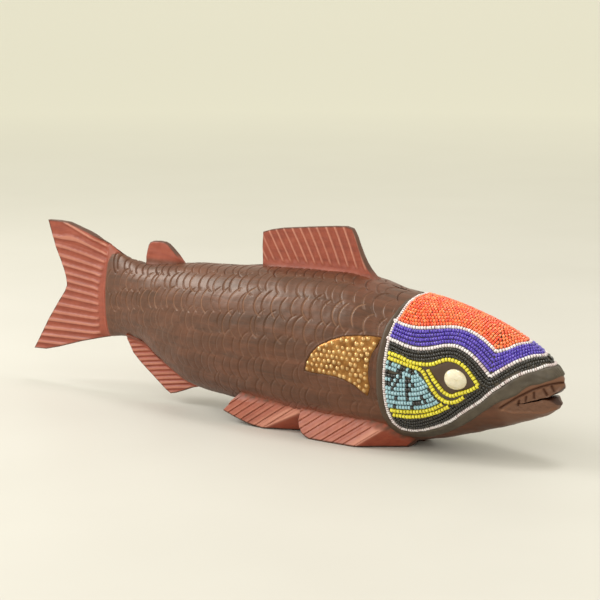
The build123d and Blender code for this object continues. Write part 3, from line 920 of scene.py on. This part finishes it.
# Diameter of the beads and their pitch along the string
SMALL, WHITE, BLUE, YELLOW = (2.4, 1.6), (2.6, 2.0), (2.6, 1.95), (2.9, 2.4)
RED, BLACK, CHEEK = (2.7, 2.15), (2.45, 1.8), (2.95, 2.15)
GAP_RED, SMALL_RED, GAP_BLACK = (2.5, 2.0), (2.2, 1.8), (2.2, 1.7)
BEAD_SHARE = 0.92              # share of the pitch that the glass takes up

border_path = resample(PATCH_BACK)
upper_path, lower_path = (np.concatenate([resample(string_path(back)), resample(string_path(front))[1:]])
                          for back, front in ((UPPER_BACK, UPPER_FRONT), (LOWER_BACK, LOWER_FRONT)))
border_beads, upper_beads, lower_beads, yellow_beads = Strand(), Strand(), Strand(), Strand()
blue_beads, crown_beads, crown_middle, black_beads, cheek_beads = (Strand() for _ in range(5))
border_beads.even(border_path, SMALL)
for strand, size, strings in ((upper_beads, WHITE, (UPPER_BACK, UPPER_FRONT)),
                              (lower_beads, WHITE, (LOWER_BACK, LOWER_FRONT)),
                              (yellow_beads, YELLOW, (YELLOW_EYE, YELLOW_UNDER_EYE, YELLOW_CHEEK,
                                                      YELLOW_LOW_1, YELLOW_LOW_2))):
    for controls in strings:
        strand.even(resample(string_path(controls)), size)

BLUE_ROWS = 4
BORDER_CLEAR = 2.2             # the blue rows begin this far from the border's own path
for row in range(1, BLUE_ROWS + 1):
    pieces = [between_paths(resample(string_path(a)), resample(string_path(b)), row / (BLUE_ROWS + 1))
              for a, b in ((LOWER_BACK, UPPER_BACK), (LOWER_FRONT, UPPER_FRONT))]
    whole = np.concatenate([pieces[0], pieces[1][1:]])
    start = length_along(surface(whole[:, 0], whole[:, 1]))
    blue_beads.even(whole[start > BORDER_CLEAR], BLUE)


def below_line(path, line):
    """Which points of a path lie below a line that runs along the body."""
    return path[:, 1] > np.interp(path[:, 0], line[:, 0], line[:, 1])


def in_crown(path):
    """Crown field: above the upper white line."""
    return in_region(path, PATCH_LOOP) & ~below_line(path, upper_path)


def smoothed(path, reach=4):
    """Path with small kinks averaged out; its ends stay."""
    if path is None or len(path) < 3 * reach:
        return path
    kernel = np.ones(2 * reach + 1) / (2 * reach + 1)
    padded = np.concatenate([path[:1].repeat(reach, 0), path, path[-1:].repeat(reach, 0)])
    out = np.stack([np.convolve(padded[:, k], kernel, "valid") for k in (0, 1)], -1)
    out[0], out[-1] = path[0], path[-1]
    return resample(out)


CROWN_ROWS, CROWN_PITCH = 19, 2.5
MIDLINE = np.stack([np.arange(129.5, 211, 0.5), np.zeros(163)], -1)
crown_middle.fill(MIDLINE, RED, lambda path: path[:, 0] > 0, 0.86, middle_gap=-1)
row_path = upper_path
for row in range(CROWN_ROWS):
    row_path = smoothed(parallel(row_path, CROWN_PITCH))
    if row_path is None:
        break
    crown_beads.fill(row_path, RED, in_crown, 0.82, middle_gap=1.15)
crown_beads.fill_gaps((124, 0.02), (214, 1.2), GAP_RED, in_crown, 0.8)
crown_beads.fill_gaps((124, 0.02), (214, 1.2), SMALL_RED, in_crown, 0.68)

YELLOW_BLOCK = np.concatenate([on_body([(112, 72)]), string_path(YELLOW_EYE),
                               string_path(YELLOW_UNDER_EYE[:3]), on_body(YELLOW_CHEEK[-1:-4:-1]),
                               string_path(YELLOW_LOW_2[::-1]), on_body([(112, 27)])])


def in_black(path):
    """Black field: below the lower white line and outside the yellow lines."""
    return in_region(path, PATCH_LOOP) & below_line(path, lower_path) & ~in_region(path, YELLOW_BLOCK)


BLACK_PITCH = 2.45
black_rows = [parallel(lower_path, -row * BLACK_PITCH) for row in range(1, 8)]
border_rows = [parallel(border_path, 0.2 + row * 2.4) for row in range(1, 9)]
for row_path in black_rows[:3] + border_rows + black_rows[3:]:
    black_beads.fill(row_path, BLACK, in_black, middle_gap=0.7)
black_beads.fill_gaps((119, 0.05), (232, 2.4), GAP_BLACK, in_black, 0.82)

CHEEK_AREA = np.concatenate([on_body([(112, 68)]), string_path(YELLOW_CHEEK[:8]),
                             string_path(YELLOW_LOW_1[::-1]), on_body([(112, 29.7)])])
# Light blue (b) and black (.) beads of the cheek's rows
CHEEK_ROWS_LOW = ["bb.bbbbb.bbbbbbbb", "bbbbbbbbb...b.bbb", "bbb.bbb.bbbb.bb", "bbbbbbb.bbbbbbb",
                  "bb.bbbb..bbbbb", "..b.bbb.b.bbb", "bb.b.bb..bbb", "....b.bb", "..bb.b."]
CHEEK_ROWS_TOP = ["b.bbb..b.b", "bbbb..bb"]
CHEEK_PITCH = 3.3


def cheek_rows(guide, pitch, patterns):
    """Rows beside a guide line, each with its own pattern of light blue and black beads."""
    for row, pattern in enumerate(patterns):
        def tint(number):
            light = number >= len(pattern) or pattern[number] == "b"
            return rng.uniform(0.55, 1) if light else rng.uniform(0, 0.3)
        cheek_beads.fill(parallel(guide, (row + 1) * pitch), CHEEK,
                         lambda path: in_region(path, CHEEK_AREA) & in_region(path, PATCH_LOOP), tint=tint)


cheek_rows(string_path([(117, 68.6)] + YELLOW_CHEEK[:3]), -CHEEK_PITCH, CHEEK_ROWS_TOP)
cheek_rows(string_path([(116, 30.2)] + YELLOW_LOW_1 + [(168, 43), (176, 50)]), CHEEK_PITCH, CHEEK_ROWS_LOW)

WHITE_GLASS = bead_material("white_glass", [(0.0, (0.7, 0.55, 0.55)), (0.35, (0.88, 0.78, 0.78)),
                                            (1.0, (0.98, 0.93, 0.93))])
BLUE_GLASS = bead_material("blue_glass", [(0.0, (0.06, 0.025, 0.42)), (1.0, (0.13, 0.07, 0.6))])
BLACK_GLASS = bead_material("black_glass", [(0.0, (0.008, 0.007, 0.006)), (0.9, (0.016, 0.014, 0.01)),
                                            (1.0, (0.04, 0.032, 0.02))])
YELLOW_GLASS = bead_material("yellow_glass", [(0.0, (0.8, 0.68, 0.02)), (1.0, (0.95, 0.86, 0.05))])
CHEEK_GLASS = bead_material("cheek_glass", [(0.0, (0.008, 0.008, 0.008)), (0.4, (0.015, 0.016, 0.016)),
                                            (0.45, (0.28, 0.52, 0.6)), (1.0, (0.42, 0.66, 0.75))])
RED_GLASS = bead_material("red_glass", [(0.0, (0.9, 0.075, 0.02)), (0.4, (0.97, 0.13, 0.03)),
                                        (0.6, (1.0, 0.2, 0.05)), (1.0, (1.0, 0.28, 0.08))])
for name, strand, slot, glass in (("border_beads", border_beads, "bead_white", WHITE_GLASS),
                                  ("upper_white_beads", upper_beads, "bead_white", WHITE_GLASS),
                                  ("lower_white_beads", lower_beads, "bead_white", WHITE_GLASS),
                                  ("blue_beads", blue_beads, "bead_blue", BLUE_GLASS)):
    bead_object(name, [(strand.beads, RIGHT), (strand.beads, LEFT)], glass)
crown_parts = [(crown_beads.beads, RIGHT), (crown_beads.beads, LEFT), (crown_middle.beads, RIGHT)]
bead_object("crown_beads", crown_parts, RED_GLASS)
for side, word in SIDES:
    bead_object("black_beads_" + word, [(black_beads.beads, side)], BLACK_GLASS)
    bead_object("yellow_beads_" + word, [(yellow_beads.beads, side)], YELLOW_GLASS)
    bead_object("cheek_beads_" + word, [(cheek_beads.beads, side)], CHEEK_GLASS)


# ---------------------------------------------------------------- eyes and brass

def eye_dome(side):
    """Ivory cabochon."""
    x, z = EYE_CENTRE
    t = angle_at(x, z)
    centre, outward = surface(np.array(x), t), normals(np.array(x), t)
    along = unit(np.array([1.0, 0, 0]) - outward * outward[0])
    up = np.cross(along, outward)
    up = up * np.sign(up[2])
    angle = np.linspace(0, 2 * np.pi, EYE_AROUND, endpoint=False)
    share = np.concatenate([[0], np.sin(np.linspace(0.05, np.pi / 2, 16)), [1.0]])
    drop = np.concatenate([[1], np.cos(np.linspace(0.05, np.pi / 2, 16)), [-0.35]])
    oval = 1 + 0.035 * np.cos(2 * (angle + 0.6)) + 0.02 * np.cos(3 * angle)
    verts = (centre + along * (share[:, None, None] * EYE_HALF[0] * (np.cos(angle) * oval)[:, None])
             + up * (share[:, None, None] * EYE_HALF[1] * (np.sin(angle) * oval)[:, None])
             + outward * (drop[:, None, None] * EYE_HALF[2] - 0.5))
    quads = ring_quads(len(share), EYE_AROUND, len(share) - 1)[:, [0, 3, 2, 1]]
    verts = verts.reshape(-1, 3) * (1, -side, 1)
    return verts, quads if side == RIGHT else quads[:, ::-1]


def bump_places(side):
    """Places of the punched bumps: two lines inside the edge, then a loose lattice."""
    own = np.random.default_rng(31 + side)
    places = []
    edge = np.concatenate([PLATE, PLATE[:1]])
    loop = rounded(edge, 0.4)
    run = length_along(loop)
    centre_line = []
    for k in range(int(run[-1] / 4.2)):
        p = np.array([np.interp((k + 0.5) * 4.2, run, loop[:, j]) for j in (0, 1)])
        centre_line.append(p)
    for x in np.arange(54, 114, 4.3):
        for i, z in enumerate(np.arange(38, 82, 3.6)):
            places.append(np.array([x + (2.15 if i % 2 else 0), z]))
    places = [p + own.normal(0, 0.3, 2) for p in places]
    inward = []
    for p in centre_line:
        for angle in np.linspace(0, 2 * np.pi, 16):
            candidate = p + 2.3 * np.array([math.cos(angle), math.sin(angle)])
            if signed_distance(candidate[0], candidate[1], PLATE) < -2.1:
                inward.append(candidate + own.normal(0, 0.25, 2))
                break
    kept = []
    for p in inward + places:
        if signed_distance(np.array(p[0]), np.array(p[1]), PLATE) > -1.5:
            continue
        if all(np.hypot(*(p - k)) > 3.3 for k in kept):
            kept.append(p)
    return kept


def brass_plate(side):
    """Thin brass sheet with raised bumps, following the body."""
    step = 0.36
    gx, gz = np.meshgrid(np.arange(52, 117, step), np.arange(36, 83, step), indexing="ij")
    distance = signed_distance(gx, gz, PLATE)
    slope_x = (signed_distance(gx + 0.1, gz, PLATE) - distance) / 0.1
    slope_z = (signed_distance(gx, gz + 0.1, PLATE) - distance) / 0.1
    snap = np.where((distance > 0) & (distance < step * 1.3), distance, 0)
    x, z = gx - slope_x * snap, gz - slope_z * snap
    bumps = np.zeros_like(x)
    own = np.random.default_rng(61 + side)
    for px, pz in bump_places(side):
        r = np.hypot(x - px, z - pz) / own.uniform(1.15, 1.6)
        bumps = np.maximum(bumps, own.uniform(0.75, 1.1) * np.clip(1 - r**2, 0, 1))
    inside = np.minimum(distance, 0)
    height = 0.1 + 0.7 * bumps - 0.75 * fade(inside, -1.3, 0) + 0.1 * waves(x, z, 6, 50 + side)
    t = angle_at(x, z)
    points = surface(x, t) + normals(x, t) * height[..., None]
    quads = grid_quads(*x.shape)
    near = distance.reshape(-1)[quads]
    quads = quads[(near < step * 1.3).all(1) & (near.min(1) < 0)]
    used, index = np.unique(quads, return_inverse=True)
    verts = points.reshape(-1, 3)[used] * (1, -side, 1)
    quads = index.reshape(-1, 4)
    return verts, quads if side == RIGHT else quads[:, ::-1], bumps.reshape(-1)[used]


for side, word in SIDES:
    dome = make_object("eye_" + word, *eye_dome(side))
    finish_piece(dome, ["eye_" + word], IVORY)
    v, q, lift = brass_plate(side)
    plate = make_object("brass_plate_" + word, v, q, None, {"emboss": lift})
    thicken(plate, 0.5)
    finish_piece(plate, ["brass_plate_" + word], BRASS)


# ---------------------------------------------------------------- fins on the midplane

def resampled(points, count):
    """Evenly spaced points along a line in the side view."""
    p = np.asarray(points, float)
    run = length_along(p)
    u = np.linspace(0, run[-1], count)
    return np.stack([np.interp(u, run, p[:, k]) for k in (0, 1)], -1)


def patch(rear, front, low, high, count):
    """Grid of side-view points between four edges; rear and front run upwards, low and high forwards."""
    u, v = (np.linspace(0, 1, n) for n in count)
    low, high = resampled(low, count[0]), resampled(high, count[0])
    rear, front = resampled(rear, count[1]), resampled(front, count[1])
    u, v = u[:, None, None], v[None, :, None]
    grid = ((1 - v) * low[:, None] + v * high[:, None] + (1 - u) * rear[None] + u * front[None]
            - (1 - u) * (1 - v) * rear[0] - u * (1 - v) * front[0]
            - (1 - u) * v * rear[-1] - u * v * front[-1])
    return grid[..., 0], grid[..., 1]


def blade(name, edges, count, half, relief, colour):
    """Fin on the midplane: two carved faces joined round the edge."""
    x, z = patch(*edges, count)
    rear, front, low, high = edges
    loop = np.concatenate([low, front, high[::-1], rear[::-1]])
    depth_in = -np.minimum(signed_distance(x, z, loop), 0)
    faces = []
    for side in (RIGHT, LEFT):
        carve, ray_wear_and_highlight = relief(x, z, side)
        width = half(x, z)
        soft = np.sqrt(1 - 0.62 * (1 - np.clip(depth_in / 1.7, 0, 1)) ** 2)
        y = width * soft - carve * fade(depth_in, 0.0, 1.2) + 0.08 * waves(x, z, 9, 70 + side)
        faces.append((np.stack([x, side * np.maximum(y, 0.6), z], -1).reshape(-1, 3), ray_wear_and_highlight.reshape(-1)))
    total = x.size
    index = np.arange(total).reshape(x.shape)
    ring = np.concatenate([index[:, 0], index[-1, 1:], index[-2::-1, -1], index[0, -2:0:-1]])
    following = np.roll(ring, -1)
    rim = np.stack([ring, following, following + total, ring + total], -1)
    quads = grid_quads(*x.shape)
    quads = np.concatenate([quads, quads[:, ::-1] + total, rim])
    values = colour(np.concatenate([x.reshape(-1)] * 2), np.concatenate([z.reshape(-1)] * 2),
                    np.concatenate([depth_in.reshape(-1)] * 2))
    values["ray_wear_and_highlight"] = np.concatenate([faces[0][1], faces[1][1]])
    verts = np.concatenate([faces[0][0], faces[1][0]])
    return fin_object(name, verts, quads, None, values)


def fin_object(name, verts, quads, triangles, values):
    """Painted piece with outward faces and crisp edges."""
    piece = make_object(name, verts, quads, triangles, values)
    shape = bmesh.new()
    shape.from_mesh(piece.data)
    bmesh.ops.recalc_face_normals(shape, faces=shape.faces)
    shape.to_mesh(piece.data)
    shape.free()
    piece.data.set_sharp_from_angle(angle=math.radians(52))
    return piece


def ridges(q, spacing, width, depth, seed):
    """Raised rays at whole values of q with hollow channels between them."""
    number = np.round(q)
    own = np.random.default_rng(seed)
    change = own.uniform(-1, 1, 80)[np.clip(number.astype(int) + 40, 0, 79)]
    d = np.abs(q - number - 0.06 * change) * spacing
    hollow = fade(d, width * 0.32, width * 0.95)
    carve = depth * (0.75 * hollow + 0.25 * fade(d, width * 0.9, spacing * 0.5)) * (1 + 0.15 * change)
    # second value: pale on the crests, worn paint with painted highlight
    return carve, (1 - fade(d, width * 0.3, width * 0.62)) * (0.85 + 0.15 * change)


TAIL_TOP = [(-221.6, 133.5), (-210.7, 133.7), (-199.9, 133.1), (-178.9, 127), (-158.4, 119.3), (-157, 118.6)]
TAIL_REAR = [(-240, 27), (-231, 41), (-223.5, 53), (-211.5, 69.5), (-205.2, 77.5), (-203, 82.2), (-203.4, 87),
             (-205, 93), (-209, 102), (-214, 112), (-221.6, 133.5)]
TAIL_LOW = [(-240, 27), (-227, 27.5), (-213, 30.9), (-188.5, 38.2), (-170, 42.8), (-157, 45.7)]


def tail_half(x, z):
    """Half thickness of the tail: the body's own section at the joint, a thin blade behind it."""
    thin = 2.7 + 1.2 * fade(x, -240, -160)
    angle = np.linspace(np.pi, 0, 400)
    joint_x = np.full(400, float(TAIL_JOINT))
    section = raise_crest(surface(joint_x, angle), joint_x)
    joint = np.interp(z, section[:, 2], -section[:, 1])
    return thin + (joint - thin) * fade(x, -176, -159)


def tail_relief(x, z, side):
    """Rays of the tail: level below, sloping with the leading edge above."""
    front = z.copy()
    for _ in range(4):
        slope = np.interp(front, (46, 60, 75, 95, 104, 113, 119), (-0.03, 0.02, 0.09, 0.13, 0.2, 0.36, 0.38))
        front = z + slope * (x + 158)
    front = front - 1.8 * fade(x, -176, -160) * fade(z, 80, 60)
    q = (front - 46.9) / 5.75
    carve, ray_wear_and_highlight = ridges(q, 6.4, 1.9, 1.05, 11 + side)
    own = np.random.default_rng(17 + side)
    end = own.normal(0, 0.9, 80)[np.clip(np.round(q).astype(int) + 40, 0, 79)]
    start = -159.5 - 7.5 * fade(z, 108, 84) + end
    band = fade(x, start + 0.8, start - 2.2)
    return carve * band + 0.85 * (1 - band) * fade(x, -158, -161), ray_wear_and_highlight * band


def tail_colour(x, z, depth_in):
    """Wood-brown at the joint, dark round the edges."""
    rim = fade(depth_in, 1.3, 0.2) * fade(x, -157.5, -160)
    return {"rim": rim, "root": fade(x, -158.1, -157.2)}


def flat_relief(x, z, side):
    """No rays, only a slight unevenness."""
    return 0.12 * waves(x, z, 8, 90 + side) + 0.12, 0 * x


DORSAL_REAR = [(-9, 108), (-9, 119), (-9.4, 130), (-9, 140.8)]
DORSAL_TOP = [(-9, 140.8), (-2, 143), (8, 144.9), (32, 147.6), (54, 149.8), (64, 150.4), (69.5, 149.2)]
DORSAL_FRONT = [(99, 108), (93, 113.2), (88.5, 116.6), (84.3, 121), (80.8, 126), (78, 131), (75.8, 136.2),
                (73.2, 142.8), (71, 147), (69.5, 149.2)]


def dorsal_half(x, z):
    """Thin at the crest, flaring into the back."""
    top = back_line(x)
    ends = fade(x, -9, 4) * fade(x, 99, 86)
    return 3.6 - 1.2 * fade(z, 114, 150) + 2.6 * ends * np.exp(-np.maximum(z - top + 1.5, -1.5) / 1.6)


def dorsal_relief(x, z, side):
    """Rays that lean back as they rise."""
    lean = 0.62 - 0.2 * fade(x, -9, 75)
    q = (x + lean * (z - 116) + 1.5) / 7.1
    carve, ray_wear_and_highlight = ridges(q, 6.4, 1.5, 0.8, 23 + side)
    top = back_line(x)
    foot = fade(z - top, 2.5, 6)
    return carve * foot + 0.4 * (1 - foot), ray_wear_and_highlight * foot


def dorsal_colour(x, z, depth_in):
    """Dark rim on the outer edges."""
    return {"rim": fade(depth_in, 1.2, 0.2) * fade(z, 113, 122), "root": 0.55 * fade(z, 119, 115.5)}


ADIPOSE_REAR = [(-121, 103), (-120.4, 113), (-118.4, 121.4)]
ADIPOSE_TOP = [(-118.4, 121.4), (-116.8, 123.9), (-113.4, 125.2), (-108, 125.5), (-102.4, 125.2),
               (-99, 123.8), (-96.2, 121.6)]
ADIPOSE_FRONT = [(-78, 104), (-83, 110), (-89.5, 115.6), (-96.2, 121.6)]


def adipose_half(x, z):
    """Small rounded blade."""
    ends = fade(x, -121, -116) * fade(x, -84, -95)
    return (3.2 - 0.8 * fade(z, 110, 126) + 0.5 * ends * np.exp(-np.maximum(z - 108.5, -1) / 1.6)) * (
        1 - 0.75 * fade(x, -92, -82))


def adipose_colour(x, z, depth_in):
    """Brown foot and rim."""
    return {"rim": fade(depth_in, 1.1, 0.2) * fade(z, 112, 118), "root": 0.8 * fade(z, 113.4, 109.6)}


ANAL_OUTER = [(-140.3, 46), (-138, 41), (-135, 35.3), (-129.5, 30), (-123, 24.8), (-110, 15.2), (-102.6, 9.6),
              (-98.3, 7.2)]
ANAL_ROOT = [(-137, 51), (-123, 48), (-100, 36), (-75, 24), (-62, 21)]
ANAL_REAR = [(-140.3, 46), (-139.6, 49.5), (-137, 51)]
ANAL_FRONT = [(-98.3, 7.2), (-92.5, 8.5), (-87.4, 10.3), (-76.5, 14.6), (-69, 16.6), (-62, 21)]


def anal_half(x, z):
    """Blade that thickens into the belly."""
    bottom = belly_line(x)
    return 2.8 + 0.9 * fade(z - bottom, -18, 0) + 3.0 * np.exp(np.minimum(z - bottom - 1.5, 1.5) / 1.8)


def anal_relief(x, z, side):
    """Rays that run back and slightly down from the root."""
    q = (z - 0.16 * (x + 100)) / 3.9
    carve, ray_wear_and_highlight = ridges(q, 3.9, 1.7, 0.8, 37 + side)
    bottom = belly_line(x)
    foot = fade(bottom - z, 1.0, 3.5)
    return carve * foot + 0.3 * (1 - foot), ray_wear_and_highlight * foot


def anal_colour(x, z, depth_in):
    """Dark rim and a brown line at the root."""
    bottom = belly_line(x)
    return {"rim": fade(depth_in, 1.2, 0.2) * fade(bottom - z, 0, 3), "root": 0.5 * fade(bottom - z, 1, -0.5)}


def paint(piece, nodes):
    """Marks a painted fin."""
    finish_piece(piece, nodes, PAINT)


paint(blade("tail", (TAIL_REAR, [(-157, 45.7), (-157, 118.6)], TAIL_LOW, TAIL_TOP), (150, 230),
            tail_half, tail_relief, tail_colour), ["tail_fin"])
paint(blade("dorsal", (DORSAL_REAR, DORSAL_FRONT, [(-9, 108), (99, 108)], DORSAL_TOP), (220, 90),
            dorsal_half, dorsal_relief, dorsal_colour), ["dorsal_fin"])
paint(blade("adipose", (ADIPOSE_REAR, ADIPOSE_FRONT, [(-121, 103), (-78, 104)], ADIPOSE_TOP), (80, 50),
            adipose_half, flat_relief, adipose_colour), ["adipose_fin"])
paint(blade("anal", (ANAL_REAR, ANAL_FRONT, ANAL_OUTER, ANAL_ROOT), (160, 90),
            anal_half, anal_relief, anal_colour), ["anal_fin"])


# ---------------------------------------------------------------- splayed lower fins

def slats(q, spacing, depth, seed):
    """Overlapping slats: a steep cut at whole values of q that rises gently to the next one."""
    number = np.floor(q)
    own = np.random.default_rng(seed)
    change = own.uniform(-1, 1, 80)[np.clip(number.astype(int) + 40, 0, 79)]
    share = q - number
    carve = depth * (np.exp(-share * spacing / 1.5) + 0.28 * (1 - share)) * fade(share, 0, 0.035)
    carve = carve + depth * 0.3 * bell((share - 0.52) * spacing, 0.6) * (change > -0.2)
    # second value: paler towards each slat's crest, worn paint with painted highlight
    return carve * (1 + 0.15 * change), 0.3 + 0.45 * fade(share, 0.55, 1.0)


def lower_fin(name, side, ends, floor_line, top_line, face, bevel, q_of, root_line):
    """Splayed fin: carved outer face, flat sole and plain inner face, lofted along the fish."""
    columns = np.linspace(ends[0], ends[1], int((ends[1] - ends[0]) / 0.42))
    low = np.interp(columns, *zip(*floor_line))[:, None]
    high = np.interp(columns, *zip(*top_line))[:, None]
    rows = 64
    share = np.linspace(1, 0, rows)[None]
    z = low + (high - low) * share
    x = np.repeat(columns[:, None], rows, 1)
    flat_y = face(x, z)
    (ax, ay, az), b, c = bevel
    nx, ny, nz = np.cross(np.subtract(b, (ax, ay, az)), np.subtract(c, (ax, ay, az)))
    cut_y = ay - (nx * (x - ax) + nz * (z - az)) / ny
    y = np.maximum(flat_y, cut_y)
    beyond = flat_y - cut_y
    on_face = fade(beyond, -0.5, 1.0)
    carve, ray_wear_and_highlight = slats(q_of(x, z), 9.0, 1.0, 41 + side)
    root_z = np.interp(x, *zip(*root_line))
    root = fade(z, root_z - 4, root_z + 2.5)
    foot = fade(z - low, 0.2, 1.6)
    y = y + carve * on_face * (1 - root) * foot + 1.3 * (1 - foot) ** 2 + 0.1 * waves(x, z, 9, 80 + side)
    skin_y = surface(x, angle_at(x, z))[..., 1] + 0.7
    y = y + (np.maximum(skin_y, y) - y) * fade(z, root_z - 3, root_z + 6)
    # painted highlight along the bevel's edge and softer on the face beside it
    edge_light = bell(beyond, 0.9) + 0.75 * bell(beyond - 3.2, 2.6) * (beyond > 0)
    ray_wear_and_highlight = ray_wear_and_highlight * on_face + edge_light
    inner = np.full((len(columns), 1), -7.0)
    sole = [y[:, -1:] + (inner - y[:, -1:]) * k for k in (0.25, 0.5, 0.75, 1)]
    ys = np.concatenate([y] + sole + [inner], 1)
    zs = np.concatenate([z] + [low] * 4 + [high], 1)
    xs = np.repeat(columns[:, None], ys.shape[1], 1)
    plain = np.zeros((len(columns), 5))
    rim = np.concatenate([fade(z - low, 1.7, 0.9) * (1 - 0.3 * root), plain + 1], 1)
    roots = np.concatenate([root * (0.65 + 0.3 * waves(x, z, 5, 95)), plain], 1)
    rays = np.concatenate([ray_wear_and_highlight * foot * (1 - root), plain], 1)
    count = ys.shape[1]
    grid = np.stack([xs, ys, zs], -1)
    closed = np.concatenate([grid, grid[:, :1]], 1)
    quads = grid_quads(len(columns), count + 1)
    verts = closed.reshape(-1, 3)
    values = {key: np.concatenate([data, data[:, :1]], 1).reshape(-1)
              for key, data in (("rim", rim), ("root", roots), ("ray_wear_and_highlight", rays))}
    caps = []
    for column in (0, len(columns) - 1):
        base = column * (count + 1)
        caps += [(base + k, base + k + 1, base + count - 1, base + count - 1) for k in range(count - 2)]
    quads = np.concatenate([quads, np.array(caps)])
    verts, quads, triangles, values = weld(verts * (1, -side, 1), quads, values)
    piece = fin_object(name, verts, quads, triangles, values)
    paint(piece, [name])


for side, word in SIDES:
    lower_fin("pectoral_fin_" + word, side, (44.2, 133.5),
              [(44, 10), (44.6, 8.6), (46.2, 5.6), (48.5, 3), (52, 1.1), (56, 0), (126, 0), (130, 4), (134, 9)],
              [(44, 30), (134, 30)], lambda x, z: -37.5 + 8.5 * z / 24 + 0.8 * fade(x, 70, 44),
              [(95.6, -36.6, 0), (118.6, -31, 15.5), (122, -18, 0)],
              lambda x, z: (x - 1.45 * z) / 9.3, [(44, 20), (100, 18.5), (116, 15), (125, 8), (134, 3)])
    lower_fin("pelvic_fin_" + word, side, (-27, 44.4),
              [(-27, 8.5), (-19, 5.8), (-12, 3.6), (-4, 1.6), (2, 0.6), (8, 0), (44.5, 0)],
              [(-27, 8.5), (-19.5, 16.5), (-12.5, 23.8), (-10, 28), (0, 30), (44.5, 30)],
              lambda x, z: -29.5 + z / 24, [(9, -29.5, 0), (44, -28.8, 17), (38, -18, 0)],
              lambda x, z: (x - 1.5 * z) / 8.6, [(-27, 21), (44, 20)])


# ---------------------------------------------------------------- stage, light and camera

CAMERA_ANGLES = (35, 10)       # degrees round the fish from its right side, and up
CAMERA_DISTANCE, CAMERA_TARGET = 1400, (22.93, 0, 92.68)
CAMERA_LENS, CAMERA_SENSOR = 114.74, 36
FLOOR_HALF = 20000
SKY, SKY_STRENGTH = (0.84, 0.82, 0.7, 1), 1.15

# Soft lights: place and target in metres, size in metres, power in watts, colour
LIGHTS = {"back_left": ((-1.08, -0.45, 0.85), (-0.05, 0, 0.07), (0.6, 0.5), 11, (1, 0.985, 0.96)),
          "top": ((0.25, 0.1, 1.25), (0.1, 0, 0.05), (0.35, 0.35), 4.5, (1, 0.99, 0.97)),
          "left": ((-0.72, -1.0, 0.45), (0.0, 0, 0.07), (0.5, 0.5), 2.0, (1, 0.985, 0.96)),
          "front": ((0.75, -1.0, 0.7), (0.1, 0, 0.06), (0.6, 0.6), 3.0, (1, 0.985, 0.96))}


def placed(name, data, location, away):
    """Lamp or camera at a place, turned so that its back points away."""
    item = bpy.data.objects.new(name, data)
    item.location = location
    item.rotation_euler = (-Vector(away)).to_track_quat("-Z", "Y").to_euler()
    bpy.context.scene.collection.objects.link(item)
    return item


def light_stage():
    """Pale floor, even sky and soft rectangular lights."""
    corners = np.array([(-1, -1, 0), (1, -1, 0), (1, 1, 0), (-1, 1, 0)]) * float(FLOOR_HALF)
    floor = make_object("floor", corners, np.array([[0, 1, 2, 3]]))
    floor.data.materials.append(floor_material())
    world = bpy.data.worlds.new("studio")
    world.use_nodes = True
    world.node_tree.nodes["Background"].inputs["Color"].default_value = SKY
    world.node_tree.nodes["Background"].inputs["Strength"].default_value = SKY_STRENGTH
    bpy.context.scene.world = world
    for name, (location, target, size, power, colour) in LIGHTS.items():
        light = bpy.data.lights.new(name, "AREA")
        light.shape = "RECTANGLE"
        light.size, light.size_y = size
        light.energy, light.color = power, colour
        placed(name, light, location, Vector(location) - Vector(target))


def set_camera():
    """Camera that sees the right side and the head, from a little above."""
    camera = bpy.data.cameras.new("camera")
    camera.lens, camera.sensor_width = CAMERA_LENS, CAMERA_SENSOR
    azimuth, elevation = map(math.radians, CAMERA_ANGLES)
    back = Vector((math.sin(azimuth) * math.cos(elevation), -math.cos(azimuth) * math.cos(elevation),
                   math.sin(elevation)))
    place = Vector(CAMERA_TARGET) * MM + back * CAMERA_DISTANCE * MM
    bpy.context.scene.camera = placed("camera", camera, place, back)
    bpy.context.scene.view_settings.view_transform = "Standard"


light_stage()
set_camera()
